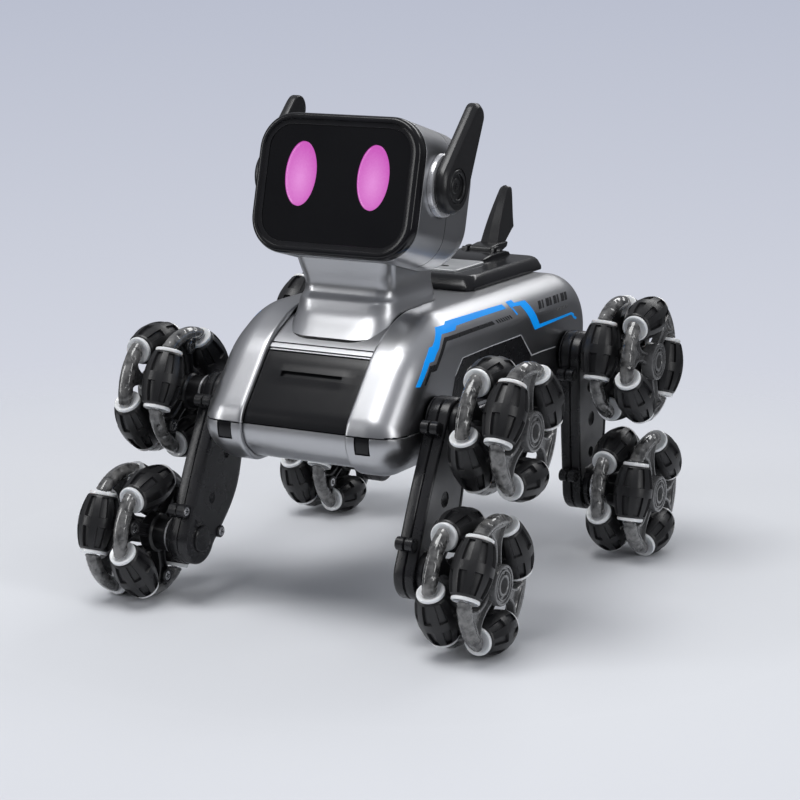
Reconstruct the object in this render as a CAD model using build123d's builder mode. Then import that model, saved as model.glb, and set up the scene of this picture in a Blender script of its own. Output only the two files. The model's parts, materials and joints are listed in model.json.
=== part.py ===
"""Robot dog toy on four swinging legs, with eight omnidirectional wheels.

Millimetres, +Z up. The dog faces -Y and its left side is +X. The origin is on the floor,
below the middle of the toy's overall length.
"""
import os
from math import cos, radians, sin, sqrt

from build123d import *

os.makedirs("parts", exist_ok=True)

# --- Driving dimensions ------------------------------------------------------------------
wheel_radius = 23.0
leg_length = 50.0
hip_spacing = 104.0
hip_middle_y = 6.5
front_leg_tilt = 26.0      # degrees from upright, foot end forward
rear_leg_tilt = -5.0       # negative: foot end rearward
running_gap = 0.05         # radial clearance of every shaft in its hole
part_gap = 0.1             # clearance between neighbouring fixed pieces

# Body
body_half_width = 37.5
body_bottom_z = 51.0
body_top_z = 100.5
body_rear_y = 83.0
body_edge_radius = 11.0
shell_wall = 2.4
seam_z = 66.0
body_corners = [           # side outline before rounding: (y, z, corner radius)
    (-63.0, body_bottom_z, 13.0),
    (-77.5, 63.0, 11.5),
    (-53.5, 91.5, 34.0),
    (-36.0, body_top_z, 34.0),
    (body_rear_y, body_top_z, 21.0),
    (body_rear_y, body_bottom_z, 14.0),
]

# Shallow channel down the front, between two pillars, with the dark panel in it,
# and the dark tabs at the pillars' feet
channel_half_width = 19.6
channel_depth = 1.6
channel_rear_y = -23.0
panel_half_width = 19.4
panel_top_z = 88.8
panel_recess = 1.7
panel_thickness = 2.0
tab_inner_x = 23.2
tab_outer_x = 28.4
tab_height = 5.8
slot_length = 23.0
slot_width = 1.6
slot_drop = 6.5            # below the panel's top edge
slot_end_y = -47.8
front_block_y = -73.0      # middle of the blocks that cut the panel's window and slots
front_block_depth = 60.0
cutter_size = 80.0         # wider than anything it cuts

# Saddle on the back, with the lugs of the tail hinge
saddle_front_y = 11.5
saddle_rear_y = 63.5
saddle_half_width = 22.0
saddle_height = 4.8
saddle_slope = 4.2
tail_block_front_y = 47.0
tail_block_rear_y = 73.0
tail_block_height = 3.4
tail_pin_y = 65.3
tail_pin_z = 106.4
tail_pin_radius = 1.2
tail_drum_radius = 2.3
tail_lug_x = 6.2
tail_half_width = 4.6
tail_wall = 1.2
tail_outline = [           # (y, z) of the fin, from its front foot round to its rear foot
    (71.0, 107.4),
    (83.0, 127.0),
    (85.2, 127.0),
    (90.4, 110.6),
    (84.0, 106.0),
]

# Neck sections, head end first: (front y, front z, rear y, rear z, half width, corner radius)
neck_sections = [
    (-41.5, 119.0, -8.0, 119.0, 19.0, 5.0),
    (-39.6, 112.0, -6.0, 112.0, 17.8, 5.0),
    (-37.8, 105.0, -4.0, 105.0, 17.3, 5.0),
    (-41.5, 98.6, -3.0, 102.0, 18.2, 8.0),
    (-53.6, 90.4, -2.5, 100.8, 19.2, 12.0),
    (-53.6, 86.4, -2.5, 96.8, 19.2, 12.0),
]

# Head, built on the plane of the face, which looks a little upwards
face_pitch = 14.3
face_y = -44.5
face_z = 142.3
head_width = 61.0
head_height = 47.0
head_depth = 48.0
head_corner_radius = 12.5
head_rear_radius = 12.0
head_profile_radius = 19.0
bezel_depth = 4.0
bezel_width = 4.0
bezel_round = 1.6
screen_recess = 0.9
screen_thickness = 1.6
eye_width = 11.7
eye_height = 21.4
eye_spacing = 27.2
eye_rise = 3.2

# Ears
ear_pivot_y = -27.0
ear_pivot_z = 142.0
ear_tip = (-11.5, 164.4)
ear_base_radius = 9.2
ear_tip_radius = 3.5
ear_disc_radius = 10.45
ear_disc_face_x = 32.3
ear_inner_x = 32.5
ear_thickness = 3.2
ear_pin_radius = 2.0
ear_pin_end_x = 27.5
ear_recess_radius = 4.2
ear_recess_depth = 0.8

# Legs: two half shells, outboard half and inboard half, that meet on leg_seam_x
leg_inner_x = 39.0
leg_seam_x = 43.0
leg_outer_x = 47.0
leg_wall = 1.3
leg_hip_radius = 8.4
leg_foot_radius = 8.8
leg_front_bulge = 9.2
leg_rear_bulge = 15.5
lug_radius = 2.2
lug_offset = -11.2
lug_heights = (6.8, 45.0)
lug_inset = 0.7
hip_stub_radius = 3.4
hip_stub_end_x = 33.0
hip_collar_radius = 8.0
hip_collar_end_x = 38.2
foot_cap_radius = 4.6
foot_cap_height = 1.0

# Wheels: two rows of three barrel rollers, the rows turned by half a pitch
row_inner_x = 58.0
row_outer_x = 70.0
row_pitch_angle = 120.0
roller_axis_radius = 0.70 * wheel_radius
roller_half_length = 10.5
roller_end_radius = sqrt(wheel_radius**2 - roller_half_length**2) - roller_axis_radius
roller_mid_radius = wheel_radius - roller_axis_radius
roller_pin_radius = 1.1
roller_end_gap = 0.25
arc_radius = 19.8
arc_tube_radius = 2.5
arc_span = 58.0
spoke_width = 4.4
spoke_thickness = 2.6
hub_radius = 6.7
hub_core_radius = 4.4
hub_inner_x = 47.3
hub_outer_x = 74.3
hub_disc_thickness = 3.2
axle_radius = 2.0
axle_end_x = 41.0

# Inside the body
battery_size = (26.0, 46.0, 15.0)
battery_y = -1.0
board_size = (46.0, 74.0, 1.6)
board_y = 7.0
board_z = 86.0
motor_radius = 6.0
motor_length = 18.0
gearbox_size = (16.0, 12.0, 13.0)
gearbox_shift = 4.5
motor_x = 21.0
switch_y = -33.0
switch_travel = 3.0
switch_size = (4.0, 3.0)

axle_direction = (1, 0, 0)
corners = {
    "front_left": (1, hip_middle_y - hip_spacing / 2, front_leg_tilt),
    "front_right": (-1, hip_middle_y - hip_spacing / 2, front_leg_tilt),
    "rear_left": (1, hip_middle_y + hip_spacing / 2, rear_leg_tilt),
    "rear_right": (-1, hip_middle_y + hip_spacing / 2, rear_leg_tilt),
}
# Rest angle of the outboard row's arcs on each wheel, in degrees from +Y towards +Z
arc_angles = {
    "front_left": {"upper": 90, "lower": 90},
    "front_right": {"upper": 36, "lower": 101},
    "rear_left": {"upper": 42, "lower": 106},
    "rear_right": {"upper": 75, "lower": 30},
}


def save(piece, name):
    """Label a finished piece and write its STEP file."""
    piece.part.label = name
    export_step(piece.part, f"parts/{name}.step")


def hip_height(tilt):
    """Height of a hip whose lower wheel stands on the floor."""
    return wheel_radius + leg_length * cos(radians(tilt))


def leg_plane(x, hip_y, tilt):
    """Plane at the foot axle: local x is rearward, local y runs up the leg."""
    foot_y = hip_y - leg_length * sin(radians(tilt))
    along = (0, cos(radians(tilt)), -sin(radians(tilt)))
    return Plane(origin=(x, foot_y, wheel_radius), x_dir=along, z_dir=axle_direction)


def body_block(inset):
    """The whole body as one rounded block, shrunk by inset on every side."""
    with BuildPart() as block:
        with BuildSketch(Plane.YZ):
            with BuildLine():
                Polyline(*[(y, z) for y, z, _ in body_corners], close=True)
            make_face()
            for y, z, radius in body_corners:
                nearest = vertices().sort_by_distance((y, z))[0]
                fillet(nearest, radius)
            if inset:
                offset(amount=-inset, mode=Mode.REPLACE)
        extrude(amount=body_half_width - inset, both=True)
        sides = faces().filter_by(Axis.X)
        fillet(sides.edges(), body_edge_radius - inset)
    return block.part


def head_block(inset):
    """The silver head shell behind the bezel as one rounded block, shrunk by inset."""
    with BuildPart() as block:
        with BuildSketch(face_plane.offset(-bezel_depth - part_gap)):
            RectangleRounded(
                head_width - 2 * inset, head_height - 2 * inset, head_corner_radius - inset
            )
        extrude(amount=-(head_depth - bezel_depth - part_gap - inset))
        rear = block.faces().sort_by(face_axis)[0]
        fillet(rear.edges(), head_rear_radius - inset)
        with BuildSketch(head_side_plane):
            with Locations((-head_depth / 2, 0)):
                Rectangle(head_depth - 2 * inset, head_height - 2 * inset)
            rear_corners = vertices().group_by(Axis.X)[0]
            fillet(rear_corners, head_profile_radius - inset)
            with Locations((-inset, 0)):
                Rectangle(2 * inset + 1, head_height - 2 * inset)
        extrude(amount=head_width / 2 + 1, both=True, mode=Mode.INTERSECT)
    return block.part


face_tilt = radians(face_pitch)
face_normal = (0, -cos(face_tilt), sin(face_tilt))
face_plane = Plane(origin=(0, face_y, face_z), x_dir=(1, 0, 0), z_dir=face_normal)
face_axis = Axis(face_plane.origin, face_plane.z_dir)
# Side view of the head: local x runs forward along the face's normal, local y up the face
head_side_plane = Plane(origin=face_plane.origin, x_dir=face_normal, z_dir=(-1, 0, 0))

body_outside = body_block(0)
body_inside = body_block(shell_wall)
channel_floor = body_block(channel_depth)
head_outside = head_block(0)
head_inside = head_block(shell_wall)


# --- Body --------------------------------------------------------------------------------
with BuildPart() as channel:
    with Locations((0, channel_rear_y, seam_z)):
        Box(
            2 * channel_half_width, cutter_size, cutter_size,
            align=(Align.CENTER, Align.MAX, Align.CENTER),
        )
    add(channel_floor, mode=Mode.SUBTRACT)

with BuildPart() as hip_bores:
    for side, hip_y, tilt in corners.values():
        hip_centre = (side * body_half_width, hip_y, hip_height(tilt))
        with Locations(Plane(origin=hip_centre, z_dir=axle_direction)):
            Cylinder(hip_stub_radius + running_gap, 6 * shell_wall)

with BuildPart() as body_upper_shell:
    add(body_outside)
    add(body_inside, mode=Mode.SUBTRACT)
    add(channel.part, mode=Mode.SUBTRACT)
    split(bisect_by=Plane.XY.offset(seam_z), keep=Keep.TOP)
    window_height = panel_top_z + part_gap - seam_z
    with Locations((0, front_block_y, seam_z)):
        Box(
            2 * (panel_half_width + part_gap), front_block_depth, window_height,
            align=(Align.CENTER, Align.CENTER, Align.MIN), mode=Mode.SUBTRACT,
        )
    add(hip_bores.part, mode=Mode.SUBTRACT)
save(body_upper_shell, "body_upper_shell")

with BuildPart() as body_lower_shell:
    add(body_outside)
    add(body_inside, mode=Mode.SUBTRACT)
    add(channel.part, mode=Mode.SUBTRACT)
    split(bisect_by=Plane.XY.offset(seam_z - part_gap), keep=Keep.BOTTOM)
    tab_width = tab_outer_x - tab_inner_x + 2 * part_gap
    tab_middle_x = (tab_outer_x + tab_inner_x) / 2
    with Locations(*[(side * tab_middle_x, front_block_y, seam_z) for side in (1, -1)]):
        Box(
            tab_width, front_block_depth, tab_height + part_gap,
            align=(Align.CENTER, Align.CENTER, Align.MAX), mode=Mode.SUBTRACT,
        )
    with BuildSketch(Plane.XY.offset(body_bottom_z)):
        with Locations((0, switch_y + switch_travel / 2)):
            Rectangle(
                switch_size[0] + 2 * part_gap, switch_size[1] + switch_travel + 2 * part_gap
            )
    extrude(amount=shell_wall, mode=Mode.SUBTRACT)
    add(hip_bores.part, mode=Mode.SUBTRACT)
save(body_lower_shell, "body_lower_shell")

panel_front = body_block(panel_recess)
panel_web = body_block(shell_wall + part_gap)
panel_back = body_block(panel_recess + panel_thickness)

with BuildPart() as front_panel:
    with Locations((0, front_block_y, seam_z + part_gap)):
        Box(
            2 * panel_half_width, front_block_depth, panel_top_z - seam_z - part_gap,
            align=(Align.CENTER, Align.CENTER, Align.MIN),
        )
    add(panel_front, mode=Mode.INTERSECT)
    with BuildSketch(Plane.XZ.offset(-slot_end_y)):
        with Locations((0, panel_top_z - slot_drop)):
            SlotOverall(slot_length, slot_width)
    extrude(amount=cutter_size, mode=Mode.SUBTRACT)
    add(panel_back, mode=Mode.SUBTRACT)

with BuildPart() as panel_tabs:
    tab_top_z = seam_z - part_gap
    with Locations(*[(side * tab_middle_x, front_block_y, tab_top_z) for side in (1, -1)]):
        Box(
            tab_outer_x - tab_inner_x, front_block_depth, tab_height - part_gap,
            align=(Align.CENTER, Align.CENTER, Align.MAX),
        )
    add(body_outside, mode=Mode.INTERSECT)
    add(panel_back, mode=Mode.SUBTRACT)

with BuildPart() as panel_bridge:
    with Locations((0, front_block_y, seam_z)):
        Box(2 * tab_outer_x, front_block_depth, 2 * tab_height)
    add(panel_web, mode=Mode.INTERSECT)
    add(panel_back, mode=Mode.SUBTRACT)

with front_panel:
    add(panel_tabs.part)
    add(panel_bridge.part)
save(front_panel, "front_panel")


# --- Saddle and tail ---------------------------------------------------------------------
with BuildPart() as back_saddle:
    saddle_plane = Plane.XY.offset(body_top_z + part_gap)
    saddle_length = saddle_rear_y - saddle_front_y
    saddle_middle_y = (saddle_front_y + saddle_rear_y) / 2
    for height, shrink in ((0, 0), (1.2, 0), (saddle_height, saddle_slope)):
        with BuildSketch(saddle_plane.offset(height)):
            with Locations((0, saddle_middle_y)):
                RectangleRounded(2 * saddle_half_width - shrink, saddle_length - 2 * shrink, 4)
    loft(ruled=True)
    top = faces().sort_by(Axis.Z)[-1]
    fillet(top.edges(), 1.2)
    with BuildSketch(saddle_plane):
        with Locations((0, (tail_block_front_y + tail_block_rear_y) / 2)):
            RectangleRounded(2 * tail_lug_x + 2, tail_block_rear_y - tail_block_front_y, 2)
    extrude(amount=tail_block_height)
    with BuildSketch(Plane.YZ):
        with BuildLine():
            lug_foot_z = body_top_z + 1
            Polyline(
                (tail_pin_y - 6, lug_foot_z), (tail_pin_y - tail_drum_radius, tail_pin_z),
                (tail_pin_y + tail_drum_radius, tail_pin_z), (tail_pin_y + 6, lug_foot_z),
                close=True,
            )
        make_face()
        with Locations((tail_pin_y, tail_pin_z)):
            Circle(tail_drum_radius)
    extrude(amount=tail_lug_x, both=True)
    with Locations((0, tail_pin_y, tail_pin_z)):
        Box(2 * (tail_half_width + part_gap), 15, 2 * (tail_drum_radius + 0.3), mode=Mode.SUBTRACT)
    with Locations(Plane(origin=(0, tail_pin_y, tail_pin_z), z_dir=axle_direction)):
        Cylinder(tail_pin_radius, 2 * tail_lug_x)
save(back_saddle, "back_saddle")

with BuildPart() as tail_fin:
    with BuildSketch(Plane.YZ):
        with BuildLine():
            Polyline(*tail_outline, close=True)
        make_face()
    extrude(amount=tail_half_width, both=True)
    with BuildSketch(Plane.XZ.offset(-tail_outline[0][0])):
        with BuildLine():
            foot_z = tail_outline[0][1] - 2
            Polyline(
                (-tail_half_width, foot_z), (-1.0, tail_outline[1][1]),
                (1.0, tail_outline[1][1]), (tail_half_width, foot_z), close=True,
            )
        make_face()
    extrude(amount=-30, mode=Mode.INTERSECT)
    with BuildSketch(Plane.XY.offset(tail_outline[4][1] + 1.5)):
        inner_x = tail_half_width - tail_wall - 0.6
        with BuildLine():
            Polyline(
                (0, tail_outline[0][0] + 3), (inner_x, tail_outline[0][0] + 8),
                (inner_x, tail_outline[3][0] + 1), (-inner_x, tail_outline[3][0] + 1),
                (-inner_x, tail_outline[0][0] + 8), close=True,
            )
        make_face()
    extrude(amount=11, mode=Mode.SUBTRACT)
    with BuildSketch(Plane.YZ):
        with BuildLine():
            Polyline(
                (tail_pin_y, tail_pin_z - tail_drum_radius + 0.6), (tail_pin_y, tail_pin_z + 1.8),
                (tail_outline[0][0] + 1, tail_outline[0][1] + 1.6), tail_outline[4], close=True,
            )
        make_face()
        with Locations((tail_pin_y, tail_pin_z)):
            Circle(tail_drum_radius)
    extrude(amount=tail_half_width - 1, both=True)
    with Locations(Plane(origin=(0, tail_pin_y, tail_pin_z), z_dir=axle_direction)):
        Cylinder(tail_drum_radius, 2 * tail_half_width)
        Cylinder(tail_pin_radius + running_gap, 3 * tail_half_width, mode=Mode.SUBTRACT)
save(tail_fin, "tail_fin")


# --- Neck --------------------------------------------------------------------------------
with BuildPart() as pillars:
    add(body_block(-part_gap))
    with Locations((0, channel_rear_y, seam_z)):
        Box(
            2 * (channel_half_width - part_gap), cutter_size, cutter_size,
            align=(Align.CENTER, Align.MAX, Align.CENTER), mode=Mode.SUBTRACT,
        )
    add(body_block(channel_depth - part_gap))

with BuildPart() as neck_shell:
    for front_y, front_z, rear_y, rear_z, half_width, radius in neck_sections:
        middle = (0, (front_y + rear_y) / 2, (front_z + rear_z) / 2)
        rise = Vector(0, rear_y - front_y, rear_z - front_z)
        section = Plane(origin=middle, x_dir=(1, 0, 0), z_dir=Vector(1, 0, 0).cross(rise))
        with BuildSketch(section):
            RectangleRounded(2 * half_width, rise.length, radius)
    loft()
    add(head_block(-part_gap), mode=Mode.SUBTRACT)
    add(pillars.part, mode=Mode.SUBTRACT)
save(neck_shell, "neck_shell")


# --- Head --------------------------------------------------------------------------------
with BuildPart() as head_shell:
    add(head_outside)
    for side in (1, -1):
        disc_plane = Plane(origin=(0, ear_pivot_y, ear_pivot_z), z_dir=(side, 0, 0))
        with BuildSketch(disc_plane.offset(head_width / 2 - 1)):
            Circle(ear_disc_radius)
        extrude(amount=ear_disc_face_x - head_width / 2 + 1)
    add(head_inside, mode=Mode.SUBTRACT)
    with Locations(Plane(origin=(0, ear_pivot_y, ear_pivot_z), z_dir=axle_direction)):
        Cylinder(ear_pin_radius + running_gap, 2 * ear_disc_face_x + 1, mode=Mode.SUBTRACT)
save(head_shell, "head_shell")

with BuildPart() as face_bezel:
    with BuildSketch(face_plane):
        RectangleRounded(head_width, head_height, head_corner_radius)
    extrude(amount=-bezel_depth)
    front = faces().sort_by(face_axis)[-1]
    fillet(front.edges(), bezel_round)
    with BuildSketch(face_plane):
        RectangleRounded(
            head_width - 2 * bezel_width, head_height - 2 * bezel_width,
            head_corner_radius - bezel_width,
        )
    extrude(amount=-bezel_depth, mode=Mode.SUBTRACT)
save(face_bezel, "face_bezel")


def eye_sketch(grow):
    """Both eye outlines, grown by a small amount."""
    with GridLocations(eye_spacing, 1, 2, 1):
        with Locations((0, eye_rise)):
            Ellipse(eye_width / 2 + grow, eye_height / 2 + grow)


with BuildPart() as face_screen:
    with BuildSketch(face_plane.offset(-screen_recess)):
        opening = bezel_width + part_gap
        RectangleRounded(
            head_width - 2 * opening, head_height - 2 * opening, head_corner_radius - opening
        )
    extrude(amount=-screen_thickness)
    with BuildSketch(face_plane.offset(-screen_recess)):
        eye_sketch(part_gap)
    extrude(amount=-screen_thickness, mode=Mode.SUBTRACT)
save(face_screen, "face_screen")

with BuildPart() as eye_lights:
    with BuildSketch(face_plane.offset(-screen_recess)):
        eye_sketch(0)
    extrude(amount=-screen_thickness)
save(eye_lights, "eye_lights")


def build_ear(side, name):
    """One ear blade with its pivot pin."""
    pivot = (0, ear_pivot_y, ear_pivot_z)
    tip_offset = (ear_tip[0] - ear_pivot_y, ear_tip[1] - ear_pivot_z)
    outboard = Plane(origin=pivot, x_dir=(0, 1, 0), z_dir=axle_direction)
    with BuildPart() as ear:
        with BuildSketch(outboard.offset(side * ear_inner_x)):
            Circle(ear_base_radius)
            with Locations(tip_offset):
                Circle(ear_tip_radius)
            make_hull()
        extrude(amount=side * ear_thickness)
        outer_face = ear.faces().sort_by(Axis.X)[-1 if side > 0 else 0]
        chamfer(outer_face.edges(), 0.7)
        with BuildSketch(outboard.offset(side * (ear_inner_x + ear_thickness))):
            Circle(ear_recess_radius)
        extrude(amount=-side * ear_recess_depth, mode=Mode.SUBTRACT)
        with BuildSketch(outboard.offset(side * ear_inner_x)):
            Circle(ear_pin_radius)
        extrude(amount=-side * (ear_inner_x - ear_pin_end_x))
    save(ear, name)


build_ear(1, "ear_left")
build_ear(-1, "ear_right")


# --- Parts inside the body ---------------------------------------------------------------
floor_z = body_bottom_z + shell_wall + part_gap

with BuildPart() as battery_pack:
    with Locations((0, battery_y, floor_z)):
        Box(*battery_size, align=(Align.CENTER, Align.CENTER, Align.MIN))
    chamfer(edges().filter_by(Axis.Y), 2)
save(battery_pack, "battery_pack")

with BuildPart() as circuit_board:
    with Locations((0, board_y, board_z)):
        Box(*board_size, align=(Align.CENTER, Align.CENTER, Align.MAX))
    with Locations((-8, board_y - 15, board_z), (9, board_y + 14, board_z)):
        Box(10, 10, 1.8, align=(Align.CENTER, Align.CENTER, Align.MIN))
    with Locations((14, board_y - 20, board_z)):
        Cylinder(3, 6, align=(Align.CENTER, Align.CENTER, Align.MIN))
save(circuit_board, "circuit_board")

with BuildPart() as drive_motors:
    for side, hip_y, tilt in corners.values():
        inward = 1 if hip_y < hip_middle_y else -1
        gearbox_y = hip_y + inward * gearbox_shift
        motor_y = gearbox_y + inward * (gearbox_size[1] + motor_length) / 2
        with Locations((side * motor_x, gearbox_y, hip_height(tilt))):
            Box(*gearbox_size)
        with Locations(Plane(origin=(side * motor_x, motor_y, hip_height(tilt)), z_dir=(0, 1, 0))):
            Cylinder(motor_radius, motor_length)
save(drive_motors, "drive_motors")

with BuildPart() as power_switch:
    with Locations((0, switch_y, body_bottom_z - 0.8)):
        Box(*switch_size, shell_wall + 1.2, align=(Align.CENTER, Align.CENTER, Align.MIN))
    with Locations((0, switch_y, floor_z)):
        Box(8, 5, 1.5, align=(Align.CENTER, Align.CENTER, Align.MIN))
save(power_switch, "power_switch")


# --- Legs --------------------------------------------------------------------------------
def leg_outline(inset):
    """Side outline of a leg, foot axle at the sketch's origin, shrunk by inset."""
    foot = leg_foot_radius - inset
    hip = leg_hip_radius - inset
    middle = leg_length / 2
    with BuildSketch() as outline:
        with BuildLine():
            ThreePointArc((-foot, 0), (0, -foot), (foot, 0))
            Spline(
                (foot, 0), (leg_rear_bulge - inset, middle - 2), (hip, leg_length),
                tangents=((0.35, 1), (-0.35, 1)),
            )
            ThreePointArc((hip, leg_length), (0, leg_length + hip), (-hip, leg_length))
            Spline(
                (-hip, leg_length), (inset - leg_front_bulge, middle), (-foot, 0),
                tangents=((0, -1), (0, -1)),
            )
        make_face()
    return outline.sketch


leg_face = leg_outline(0)
leg_cavity = leg_outline(leg_wall)
with BuildSketch() as leg_lugs:
    with Locations(*[(lug_offset, height) for height in lug_heights]):
        Circle(lug_radius)
    with Locations(*[(lug_offset + lug_radius, height) for height in lug_heights]):
        Rectangle(2 * lug_radius, 2 * lug_radius - 0.8)


def build_leg(name, side, hip_y, tilt):
    """Both half shells of one leg."""
    seam = leg_plane(side * leg_seam_x, hip_y, tilt)
    outer_face = leg_plane(side * leg_outer_x, hip_y, tilt)
    inner_face = leg_plane(side * leg_inner_x, hip_y, tilt)
    half = leg_outer_x - leg_seam_x

    with BuildPart() as outer_shell:
        with BuildSketch(outer_face):
            add(leg_face)
        extrude(amount=-side * half)
        with BuildSketch(seam):
            add(leg_lugs.sketch)
        extrude(amount=side * (half - lug_inset))
        with BuildSketch(seam):
            add(leg_cavity)
        extrude(amount=side * (half - leg_wall), mode=Mode.SUBTRACT)
        with BuildSketch(outer_face):
            with Locations((0, 0), (0, leg_length)):
                Circle(axle_radius + 1.6)
        extrude(amount=-side * half)
        with BuildSketch(outer_face):
            with Locations((0, 0), (0, leg_length)):
                Circle(axle_radius + running_gap)
        extrude(amount=-side * half, mode=Mode.SUBTRACT)
    save(outer_shell, f"{name}_leg_outer_shell")

    with BuildPart() as inner_shell:
        with BuildSketch(inner_face):
            add(leg_face)
        extrude(amount=side * half)
        with BuildSketch(seam):
            add(leg_lugs.sketch)
        extrude(amount=-side * (half - lug_inset))
        with BuildSketch(seam):
            add(leg_cavity)
        extrude(amount=-side * (half - leg_wall), mode=Mode.SUBTRACT)
        with BuildSketch(inner_face):
            Circle(foot_cap_radius)
        extrude(amount=-side * foot_cap_height)
        with BuildSketch(inner_face):
            with Locations((0, leg_length)):
                Circle(hip_collar_radius)
        extrude(amount=-side * (leg_inner_x - hip_collar_end_x))
        with BuildSketch(inner_face):
            with Locations((0, leg_length)):
                Circle(hip_stub_radius)
        extrude(amount=-side * (leg_inner_x - hip_stub_end_x))
    save(inner_shell, f"{name}_leg_inner_shell")


# --- Wheels ------------------------------------------------------------------------------
def radial_plane(row_x, axle_y, axle_z, angle):
    """Plane at a row's centre: local x points outward at the angle, local z along the rim."""
    outward = (0, cos(radians(angle)), sin(radians(angle)))
    along_rim = (0, -sin(radians(angle)), cos(radians(angle)))
    return Plane(origin=(row_x, axle_y, axle_z), x_dir=outward, z_dir=along_rim)


def row_angles(side, arc_angle):
    """Each row's signed X with the angle of its first arc."""
    half_pitch = row_pitch_angle / 2
    return ((side * row_outer_x, arc_angle), (side * row_inner_x, arc_angle + half_pitch))


def roller_planes(side, axle_y, axle_z, arc_angle):
    """Planes whose local z is a roller's own axis and whose origin is its middle."""
    planes = []
    for row_x, first_arc in row_angles(side, arc_angle):
        for step in range(3):
            angle = first_arc + (step + 0.5) * row_pitch_angle
            plane = radial_plane(row_x, axle_y, axle_z, angle)
            plane.origin += plane.x_dir * roller_axis_radius
            planes.append(plane)
    return planes


def build_wheel(name, side, axle_y, axle_z, arc_angle):
    """Hub, spokes, rim arcs, roller pins and axle of one wheel."""
    axle_axis = Axis((0, axle_y, axle_z), axle_direction)
    planes = roller_planes(side, axle_y, axle_z, arc_angle)
    with BuildPart() as wheel:
        for row_x, first_arc in row_angles(side, arc_angle):
            for step in range(3):
                angle = first_arc + step * row_pitch_angle
                start = radial_plane(row_x, axle_y, axle_z, angle - arc_span / 2)
                with BuildSketch(Plane(start.origin, start.x_dir, start.z_dir)):
                    with Locations((arc_radius, 0)):
                        Circle(arc_tube_radius)
                revolve(axis=axle_axis, revolution_arc=arc_span)
                spoke = radial_plane(row_x, axle_y, axle_z, angle)
                spoke.origin += spoke.x_dir * arc_radius / 2
                with Locations(spoke):
                    Box(arc_radius, spoke_thickness, spoke_width)
        for plane in planes:
            with Locations(plane):
                Cylinder(
                    roller_end_radius + 1, 2 * (roller_half_length + roller_end_gap),
                    mode=Mode.SUBTRACT,
                )
        for plane in planes:
            with Locations(plane):
                Cylinder(roller_pin_radius, 2 * roller_half_length + 3.2)
        stretches = [
            (axle_end_x, hub_outer_x - 1, axle_radius),
            (hub_inner_x, hub_outer_x - 0.6, hub_core_radius),
            (hub_outer_x - hub_disc_thickness, hub_outer_x, hub_radius),
            (row_inner_x - hub_disc_thickness, row_inner_x + 1, hub_radius),
        ]
        for start_x, end_x, radius in stretches:
            with BuildSketch(Plane(origin=(side * start_x, axle_y, axle_z), z_dir=(side, 0, 0))):
                Circle(radius)
            extrude(amount=end_x - start_x)
    save(wheel, f"{name}_wheel")


# A roller about its own Z axis, shaped to the wheel's rim circle
with BuildPart() as roller:
    roller_bore = roller_pin_radius + running_gap
    with BuildSketch(Plane.XZ):
        with BuildLine():
            ThreePointArc(
                (roller_end_radius, -roller_half_length),
                (roller_mid_radius, 0),
                (roller_end_radius, roller_half_length),
            )
            Polyline(
                (roller_end_radius, roller_half_length), (roller_bore, roller_half_length),
                (roller_bore, -roller_half_length), (roller_end_radius, -roller_half_length),
            )
        make_face()
    revolve(axis=Axis.Z)

for corner, (side, hip_y, tilt) in corners.items():
    build_leg(corner, side, hip_y, tilt)
    foot_y = hip_y - leg_length * sin(radians(tilt))
    for end, axle_y, axle_z in (
        ("upper", hip_y, hip_height(tilt)),
        ("lower", foot_y, wheel_radius),
    ):
        arc_angle = arc_angles[corner][end]
        build_wheel(f"{corner}_{end}", side, axle_y, axle_z, arc_angle)
        placed = [
            plane.location * roller.part
            for plane in roller_planes(side, axle_y, axle_z, arc_angle)
        ]
        if end == "upper":
            with BuildPart() as upper_rollers:
                for piece in placed:
                    add(piece)
            save(upper_rollers, f"{corner}_upper_rollers")
        else:
            for number, piece in enumerate(placed, start=1):
                with BuildPart() as lower_roller:
                    add(piece)
                save(lower_roller, f"{corner}_lower_roller_{number}")
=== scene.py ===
"""Looks of the robot dog toy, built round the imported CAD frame.

Lengths are millimetres unless a note says otherwise, and become metres when a mesh is made.
+Z is up, the dog faces -Y and its left side is +X.
"""
import json
from math import asin, cos, degrees, dist, pi, radians, sin, sqrt, tan

import bmesh
import bpy
from mathutils import Matrix, Vector
from mathutils.bvhtree import BVHTree
from mathutils.geometry import tessellate_polygon


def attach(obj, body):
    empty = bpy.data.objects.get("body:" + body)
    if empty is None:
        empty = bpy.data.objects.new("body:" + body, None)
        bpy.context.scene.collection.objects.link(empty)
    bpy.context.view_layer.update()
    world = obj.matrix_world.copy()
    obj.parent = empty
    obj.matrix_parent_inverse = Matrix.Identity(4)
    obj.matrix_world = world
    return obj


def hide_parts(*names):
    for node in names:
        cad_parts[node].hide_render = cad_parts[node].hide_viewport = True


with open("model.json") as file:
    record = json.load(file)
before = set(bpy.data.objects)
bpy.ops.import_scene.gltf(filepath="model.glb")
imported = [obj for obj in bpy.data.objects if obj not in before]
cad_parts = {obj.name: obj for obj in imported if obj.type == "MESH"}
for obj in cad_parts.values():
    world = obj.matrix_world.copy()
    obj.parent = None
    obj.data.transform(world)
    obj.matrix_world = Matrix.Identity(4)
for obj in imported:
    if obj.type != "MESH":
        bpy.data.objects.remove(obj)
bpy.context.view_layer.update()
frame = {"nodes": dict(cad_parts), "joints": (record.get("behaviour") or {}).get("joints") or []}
joints = {joint["name"]: joint for joint in frame["joints"]}
MM = 0.001

# --- Dimensions shared with the CAD ------------------------------------------------------
WHEEL_RADIUS = 23.0
LEG_LENGTH = 50.0
# The body, head and tail are drawn from a zero of their own, this far along Y
BODY_SHIFT_Y = -3.0
SHIFTED_BODIES = ("torso", "left_ear", "right_ear", "tail")
SIDES = (("left", 1), ("right", -1))
CORNERS = {"front_left": 1, "front_right": -1, "rear_left": 1, "rear_right": -1}

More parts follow.
